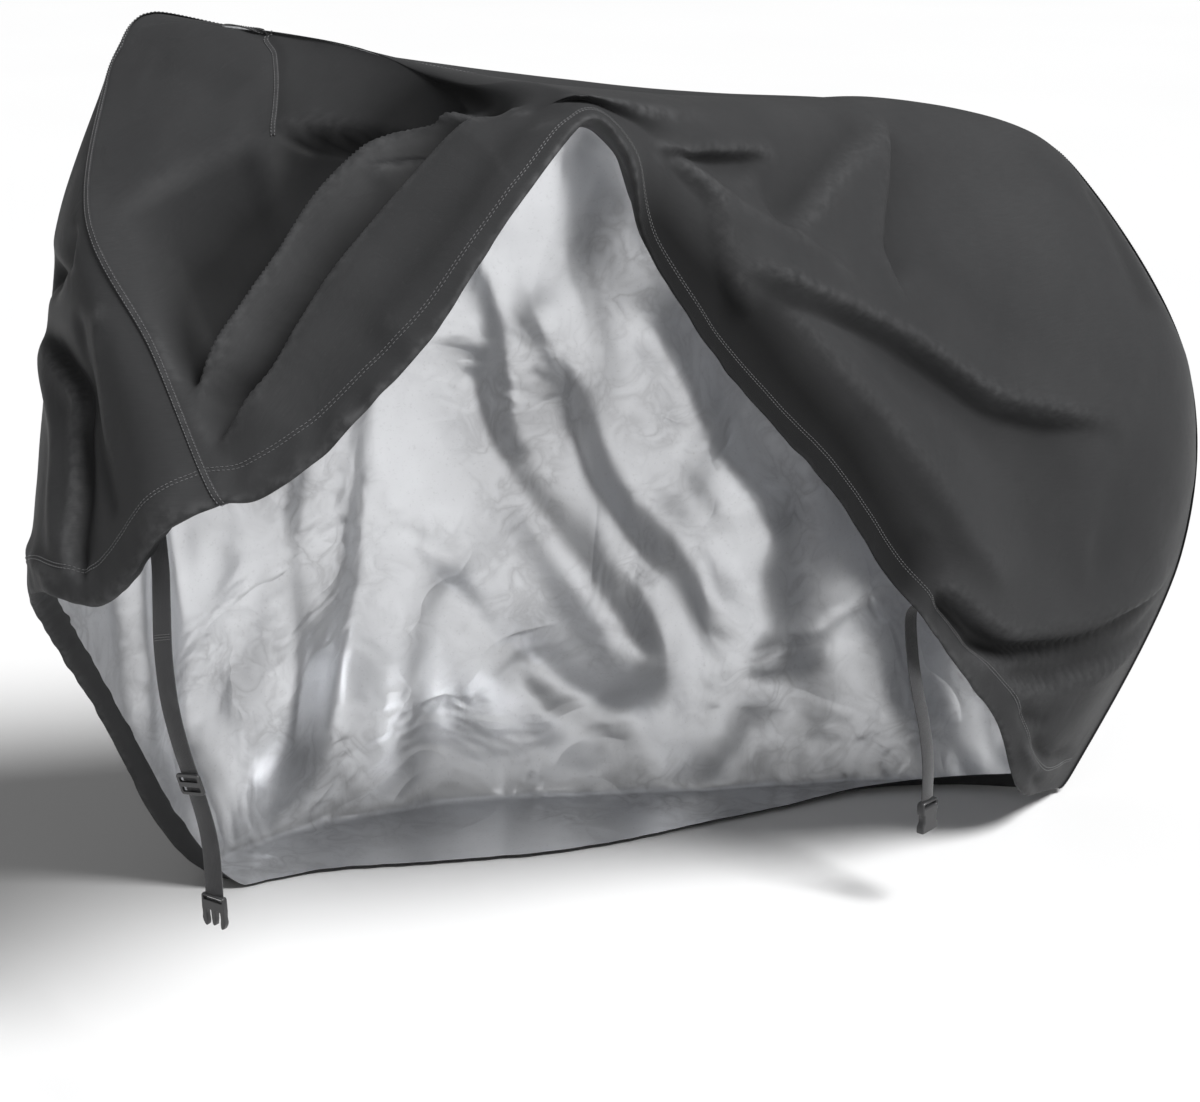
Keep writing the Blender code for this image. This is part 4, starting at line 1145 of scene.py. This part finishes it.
# %% The stitching tree
def build_stitching():
    tree = bpy.data.node_groups.new("stitching", "GeometryNodeTree")
    sockets = tree.interface
    sockets.new_socket("Line", in_out="INPUT", socket_type="NodeSocketGeometry")
    for title, value in (("Pitch", 0.0045), ("Length", 0.0032), ("Thread", 0.0005)):
        size = sockets.new_socket(title, in_out="INPUT", socket_type="NodeSocketFloat")
        size.default_value = value
    sockets.new_socket("Material", in_out="INPUT", socket_type="NodeSocketMaterial")
    sockets.new_socket("Stitches", in_out="OUTPUT", socket_type="NodeSocketGeometry")
    given = tree.nodes.new("NodeGroupInput").outputs
    out = tree.nodes.new("NodeGroupOutput").inputs
    curve = add_node(tree, "GeometryNodeMeshToCurve", {"Mesh": given["Line"]}).outputs[0]
    spaced = {"Curve": curve, "Length": given["Pitch"]}
    points = add_node(tree, "GeometryNodeCurveToPoints", spaced, mode="LENGTH").outputs
    ball = {"Segments": 6, "Rings": 4, "Radius": given["Thread"]}
    bead = add_node(tree, "GeometryNodeMeshUVSphere", ball).outputs[0]
    slender = sum_of(tree, "DIVIDE", given["Length"], given["Thread"])
    longer = sum_of(tree, "DIVIDE", slender, 2.0)
    size = add_node(tree, "ShaderNodeCombineXYZ", {0: 1.0, 1: 1.0, 2: longer}).outputs[0]
    laid = add_node(tree, "GeometryNodeInstanceOnPoints", {
        "Points": points["Points"], "Instance": bead,
        "Rotation": points["Rotation"], "Scale": size})
    real = add_node(tree, "GeometryNodeRealizeInstances", {0: laid.outputs[0]}).outputs[0]
    smooth = add_node(tree, "GeometryNodeSetShadeSmooth", {0: real}).outputs[0]
    paint = {0: smooth, "Material": given["Material"]}
    painted = add_node(tree, "GeometryNodeSetMaterial", paint).outputs[0]
    tree.links.new(painted, out["Stitches"])
    return tree


STITCHING = build_stitching()


def made_plain(piece):
    """The piece's mesh with its modifiers worked out."""
    return bpy.data.meshes.new_from_object(
        piece.evaluated_get(bpy.context.evaluated_depsgraph_get()))


def stitch(name, lines, pitch=0.0045, length=0.0032, thread=0.0005):
    """Stitches along each of these lines, as one plain mesh."""
    mesh = bpy.data.meshes.new(name + "_line")
    starts = np.cumsum([0] + [len(line) for line in lines])
    edges = [(s + k, s + k + 1) for s, line in zip(starts, lines) for k in range(len(line) - 1)]
    mesh.from_pydata(np.concatenate(lines).tolist(), edges, [])
    guide = new_piece(name + "_line", mesh)
    maker = guide.modifiers.new("stitches", "NODES")
    maker.node_group = STITCHING
    sizes = {"Pitch": pitch, "Length": length, "Thread": thread, "Material": THREAD}
    for item in STITCHING.interface.items_tree:
        if item.name in sizes:
            maker[item.identifier] = sizes[item.name]
    made = made_plain(guide)
    bpy.data.objects.remove(guide)
    made.name = name
    return new_piece(name, made)


# %% Lines of stitches on the two seams and the hems
HEM_STITCHES = (0.024, 0.028)  # the two rows' distances above the hem's edge
ON_CLOTH, ON_BAND = 0.0003, 0.0002  # how far a stitch's middle lies off what it is sewn to
SEAM_ROW, DROP_ROW = 0.0025, 0.0019  # how far a band's two rows lie from its middle


def line_from_hem(grid, normals, away):
    """A line this far above the hem's folded edge, along the middle of the cloth."""
    line, facing = [], []
    for column, turned in zip(grid, normals):
        steps = np.linalg.norm(np.diff(column[HEM_ROW::-1], axis=0), axis=1)
        run = np.concatenate([[0.0], np.cumsum(steps)])
        row = HEM_ROW - np.interp(away, run, np.arange(len(run)))
        low, share = int(row), row - int(row)
        line.append(column[low] * (1 - share) + column[low + 1] * share)
        facing.append(turned[low] * (1 - share) + turned[low + 1] * share)
    return np.array(line) - HELD_AT, np.array(facing)


def band_rows(frames, normals, side):
    """A line on either side of a band's middle."""
    rows = [np.array([f[0] + f[1] * s for f in frames]) for s in (-side, side)]
    return [row + normals * (BAND_THICK / 2 + ON_BAND) for row in rows]


seam_rows = band_rows(band_frames, band_normals, SEAM_ROW)
seam_stitches = stitch("seam_stitches", seam_rows + band_rows(drop_frames, drop_normals, DROP_ROW))
hem_lines = []
for grid, normals in ((near_grid, near_normals), (far_grid, far_normals)):
    for away in HEM_STITCHES:
        line, facing = line_from_hem(grid, normals, away)
        hem_lines.append(line[3:-3] + facing[3:-3] * (CLOTH / 2 + ON_CLOTH))
hem_stitches = stitch("hem_stitches", hem_lines, pitch=0.0052, length=0.0038)
print("stitches:", len(seam_stitches.data.polygons) + len(hem_stitches.data.polygons), "faces")

# %% [markdown]
# ## Moulded black plastic
#
# The clip parts are injection-moulded: smooth but not glossy, a little paler where edges
# have rubbed, with the faint orange peel of the mould.

# %% Black plastic
def make_plastic():
    material, tree, shader = new_material("black plastic", Specular_IOR_Level=0.5)
    place = object_place(tree)
    dust = use_group(tree, DUST, {
        "Place": place, "Colour": (0.011, 0.011, 0.012, 1),
        "Dusty": (0.045, 0.045, 0.046, 1), "Amount": 0.5})
    fill(tree, shader, {
        "Base Color": dust["Colour"],
        "Roughness": sum_of(tree, "ADD", 0.30, sum_of(tree, "MULTIPLY", dust["Mask"], 0.4)),
        "Normal": bumped(tree, noise(tree, place, 900.0, 2.0), 0.00008, 0.4),
    })
    return material


PLASTIC = make_plastic()
print("made", PLASTIC.name)

# %% [markdown]
# ## The clip and the slider
#
# A side-release clip has two halves. The pronged half ends in two springy arms either side
# of a tongue, and the socket half is a flat box that the arms snap into. The slider is a
# plate with two slots and a bar between them. All three are flat shapes with holes, which a
# filled curve with a bevel gives at once, rounded edges included.

# %% Flat plates from outlines
def plate(name, outlines, thick, bevel, matrix):
    """A plate with holes: the first outline is its edge and the others are its holes."""
    curve = bpy.data.curves.new(name, "CURVE")
    curve.dimensions, curve.fill_mode = "2D", "BOTH"
    curve.extrude, curve.offset = thick / 2 - bevel, -bevel
    curve.bevel_depth, curve.bevel_resolution = bevel, 2
    for outline in outlines:
        spline = curve.splines.new("POLY")
        spline.points.add(len(outline) - 1)
        for point, (x, y) in zip(spline.points, outline):
            point.co = (x, y, 0.0, 1.0)
        spline.use_cyclic_u = True
    drawn = new_piece(name + "_outline", curve)
    mesh = made_plain(drawn)
    bpy.data.objects.remove(drawn)
    shape = bmesh.new()
    shape.from_mesh(mesh)
    bmesh.ops.remove_doubles(shape, verts=shape.verts, dist=1e-6)
    bmesh.ops.transform(shape, matrix=matrix, verts=shape.verts)
    bmesh.ops.recalc_face_normals(shape, faces=shape.faces)
    shape.to_mesh(mesh)
    shape.free()
    mesh.name = name
    mesh.materials.clear()
    mesh.materials.append(PLASTIC)
    return new_piece(name, mesh)


def rounded_box(width, height, radius, x=0.0, y=0.0, steps=5):
    """A rectangle with round corners, as a list of points."""
    points = []
    for turn, (sx, sy) in enumerate(((1, 1), (-1, 1), (-1, -1), (1, -1))):
        for k in range(steps):
            angle = math.pi / 2 * (turn + k / (steps - 1))
            points.append((
                x + sx * (width / 2 - radius) + radius * math.cos(angle),
                y + sy * (height / 2 - radius) + radius * math.sin(angle),
            ))
    return points


def plate_matrix(frame, along=0.0, out=0.0):
    """At a strap frame: the plate's X lies across the strap, its Y back to the hem, its Z out."""
    point, across, face, ahead = frame
    place = point + ahead * along + face * out
    return Matrix((
        (across.x, -ahead.x, face.x, place.x),
        (across.y, -ahead.y, face.y, place.y),
        (across.z, -ahead.z, face.z, place.z),
        (0.0, 0.0, 0.0, 1.0),
    ))


# %% The slider, on the front strap
SLIDER_STEP = 12        # the solid's step along the strap where the slider sits
SLIDER_OUT = 0.0024     # from the webbing's middle to the slider's
SLOT_WIDE = 0.0262      # every slot's width, a little more than the webbing's
slider_frame = strap_frames(STRAPS["front_strap"], CAD_STEPS)[SLIDER_STEP]
slider = plate(
    "slider",
    [rounded_box(0.034, 0.024, 0.004),
     rounded_box(SLOT_WIDE, 0.0052, 0.0012, 0.0, 0.0056),
     rounded_box(SLOT_WIDE, 0.0052, 0.0012, 0.0, -0.0056)],
    thick=0.0032, bevel=0.0007, matrix=plate_matrix(slider_frame, 0.0, SLIDER_OUT),
)
print("slider faces:", len(slider.data.polygons))

# %% The pronged half, on the front strap's end
PRONG = [
    (-0.0155, 0.0075), (-0.0140, 0.0092), (0.0140, 0.0092), (0.0155, 0.0075),
    (0.0158, -0.0060), (0.0152, -0.0130), (0.0160, -0.0185), (0.0150, -0.0225), (0.0128, -0.0262),
    (0.0108, -0.0272), (0.0094, -0.0255), (0.0092, -0.0215), (0.0098, -0.0150), (0.0095, -0.0085),
    (0.0060, -0.0072), (0.0032, -0.0078), (0.0028, -0.0180), (0.0018, -0.0240), (0.0, -0.0250),
]
PRONG += [(-x, y) for x, y in PRONG[::-1][1:-4]]
PRONG_AT = 0.0080  # past the strap's end
prong = plate(
    "prong", [PRONG, rounded_box(SLOT_WIDE, 0.0040, 0.0010, 0.0, 0.0050)],
    thick=0.0064, bevel=0.0009, matrix=plate_matrix(frames_of["front_strap"][-1], PRONG_AT),
)
print("prong faces:", len(prong.data.polygons))

# %% The socket half, on the rear strap's end
SOCKET = [
    (0.0, 0.0215), (0.0140, 0.0215), (0.0165, 0.0190), (0.0170, 0.0080), (0.0160, 0.0050),
    (0.0132, 0.0030), (0.0128, -0.0060), (0.0150, -0.0090), (0.0168, -0.0120),
    (0.0170, -0.0190), (0.0155, -0.0205), (0.0, -0.0205),
]
SOCKET += [(-x, y) for x, y in SOCKET[::-1][1:-1]]
SOCKET_AT, MOUTH_IN = 0.0216, 0.0175  # past the strap's end, and from there to the mouth
socket = plate(
    "socket", [SOCKET, rounded_box(SLOT_WIDE, 0.0042, 0.0010, 0.0, 0.0160)],
    thick=0.0110, bevel=0.0022, matrix=plate_matrix(frames_of["rear_strap"][-1], SOCKET_AT),
)


def hollow(piece, size, matrix):
    """Cuts a box-shaped mouth into a piece with a Boolean, and keeps the plain mesh."""
    box = bpy.data.meshes.new("mouth")
    shape = bmesh.new()
    bmesh.ops.create_cube(shape, size=1.0)
    bmesh.ops.scale(shape, vec=size, verts=shape.verts)
    bmesh.ops.transform(shape, matrix=matrix, verts=shape.verts)
    shape.to_mesh(box)
    shape.free()
    cutter = new_piece("mouth", box)
    step = piece.modifiers.new("mouth", "BOOLEAN")
    step.operation, step.object = "DIFFERENCE", cutter
    cut = made_plain(piece)
    piece.modifiers.clear()
    piece.data = cut
    bpy.data.objects.remove(cutter)


mouth_at = plate_matrix(frames_of["rear_strap"][-1], SOCKET_AT + MOUTH_IN)
hollow(socket, (0.0230, 0.0300, 0.0048), mouth_at)
print("socket faces:", len(socket.data.polygons))

# %% [markdown]
# ## Sewing on the straps
#
# A bar tack is a dense zigzag that holds a strap. Here it is three rows of short stitches
# across the band: a third of the way down the front strap, and behind the hem on the rear
# one.

# %% Bar tacks
FRONT_TACK, REAR_TACK = 30, 4  # the steps along each strap where it is tacked
TACK_CUP = 0.0012              # how far the band's cup drops at half its width


def bar_tack(name, frame, rows=3, gap=0.0026, half=0.0100):
    """Rows of short stitches across a strap, which follow its cup."""
    point, across, face, ahead = frame
    lines = []
    for k in range(rows):
        at = point + ahead * (k - (rows - 1) / 2) * gap + face * (WEBBING_THICK / 2 + ON_BAND)
        lines.append(np.array([
            (at + across * x - face * TACK_CUP * (x / (WEBBING_WIDTH / 2)) ** 2)[:]
            for x in np.linspace(-half, half, 9)]))
    return stitch(name, lines, pitch=0.0021, length=0.0019, thread=0.00045)


tacks = {
    "front": bar_tack("front_tack", frames_of["front_strap"][FRONT_TACK]),
    "rear": bar_tack("rear_tack", frames_of["rear_strap"][REAR_TACK]),
}
print("tacks:", [len(piece.data.polygons) for piece in tacks.values()])

# %% [markdown]
# ## The studio
#
# A plain pale floor, a pale surround and two lights. The main one stands high on the viewer's
# right, so that each lap throws a shadow into the hollow behind it, and it is wide enough to
# keep that shadow soft. A large weak one looks into the opening from the low left, so that
# the silver coating has something to send back. The floor is only a light grey, lit until it
# shows white: a whiter one would throw so much light back up that the folds went flat.

# %% Floor
FLOOR_HALF = 60.0  # metres from its middle to its edge


def make_floor():
    material, tree, shader = new_material("pale floor", Roughness=0.75, Specular_IOR_Level=0.2)
    patch = noise(tree, object_place(tree), 0.7, 2.0)
    greys = blend_of(tree, patch, (0.55, 0.55, 0.552, 1), (0.57, 0.57, 0.57, 1))
    fill(tree, shader, {"Base Color": greys})
    return material


floor_mesh = bpy.data.meshes.new("floor")
around = ((-1, -1), (1, -1), (1, 1), (-1, 1))
corners = [(x * FLOOR_HALF, y * FLOOR_HALF, FLOOR_Z) for x, y in around]
floor_mesh.from_pydata(corners, [], [(0, 1, 2, 3)])
floor_mesh.materials.append(make_floor())
floor = new_piece("floor", floor_mesh)
print("floor at", FLOOR_Z)

# %% Lights and surround
FILL_FROM, FILL_TOWARDS, FILL_POWER, FILL_SIZE = (-3.2, -2.6, 1.0), (-0.2, 0.1, -0.4), 20.0, 2.4
SUN_FROM, SUN_POWER, SUN_WIDE = (0.15, -0.72, 1.00), 6.2, 0.38
SURROUND = 0.25


def add_light(name, kind, power, direction, at=(0.0, 0.0, 0.0), **settings):
    """A light of this kind that shines in this direction."""
    data = bpy.data.lights.new(name, kind)
    data.energy = power
    for title, value in settings.items():
        setattr(data, title, value)
    lamp = new_piece(name, data)
    lamp.location = at
    lamp.rotation_euler = Vector(direction).to_track_quat("-Z", "Y").to_euler()


fill_way = Vector(FILL_TOWARDS) - Vector(FILL_FROM)
add_light("low left", "AREA", FILL_POWER, fill_way, FILL_FROM, shape="DISK", size=FILL_SIZE)
add_light("key", "SUN", SUN_POWER, -Vector(SUN_FROM), angle=SUN_WIDE)
world = bpy.data.worlds.new("studio")
world.use_nodes = True
background = world.node_tree.nodes["Background"].inputs
fill(world.node_tree, background, {"Color": (1.0, 1.0, 1.0, 1.0), "Strength": SURROUND})
bpy.context.scene.world = world
bpy.context.scene.view_settings.view_transform = "Standard"
print("lights:", len(bpy.data.lights))

# %% [markdown]
# ## Attaching the pieces
#
# Every piece rides on the one body. Seven stand for a solid, and the seams, stitches and
# tacks come with the piece that they are sewn to.

# %% Attach each piece and hide the solids that they stand for
SEWN_ON = [felled_seam, drop_seam, seam_stitches, hem_stitches]
for piece in (near_cloth, far_cloth, *SEWN_ON, slider, prong, socket,
              *strap_pieces.values(), *tacks.values()):
    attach(piece, "root")
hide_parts("near_panel")
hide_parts("far_panel")
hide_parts("front_strap")
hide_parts("rear_strap")
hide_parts("front_slider")
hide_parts("front_prong")
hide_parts("rear_socket")
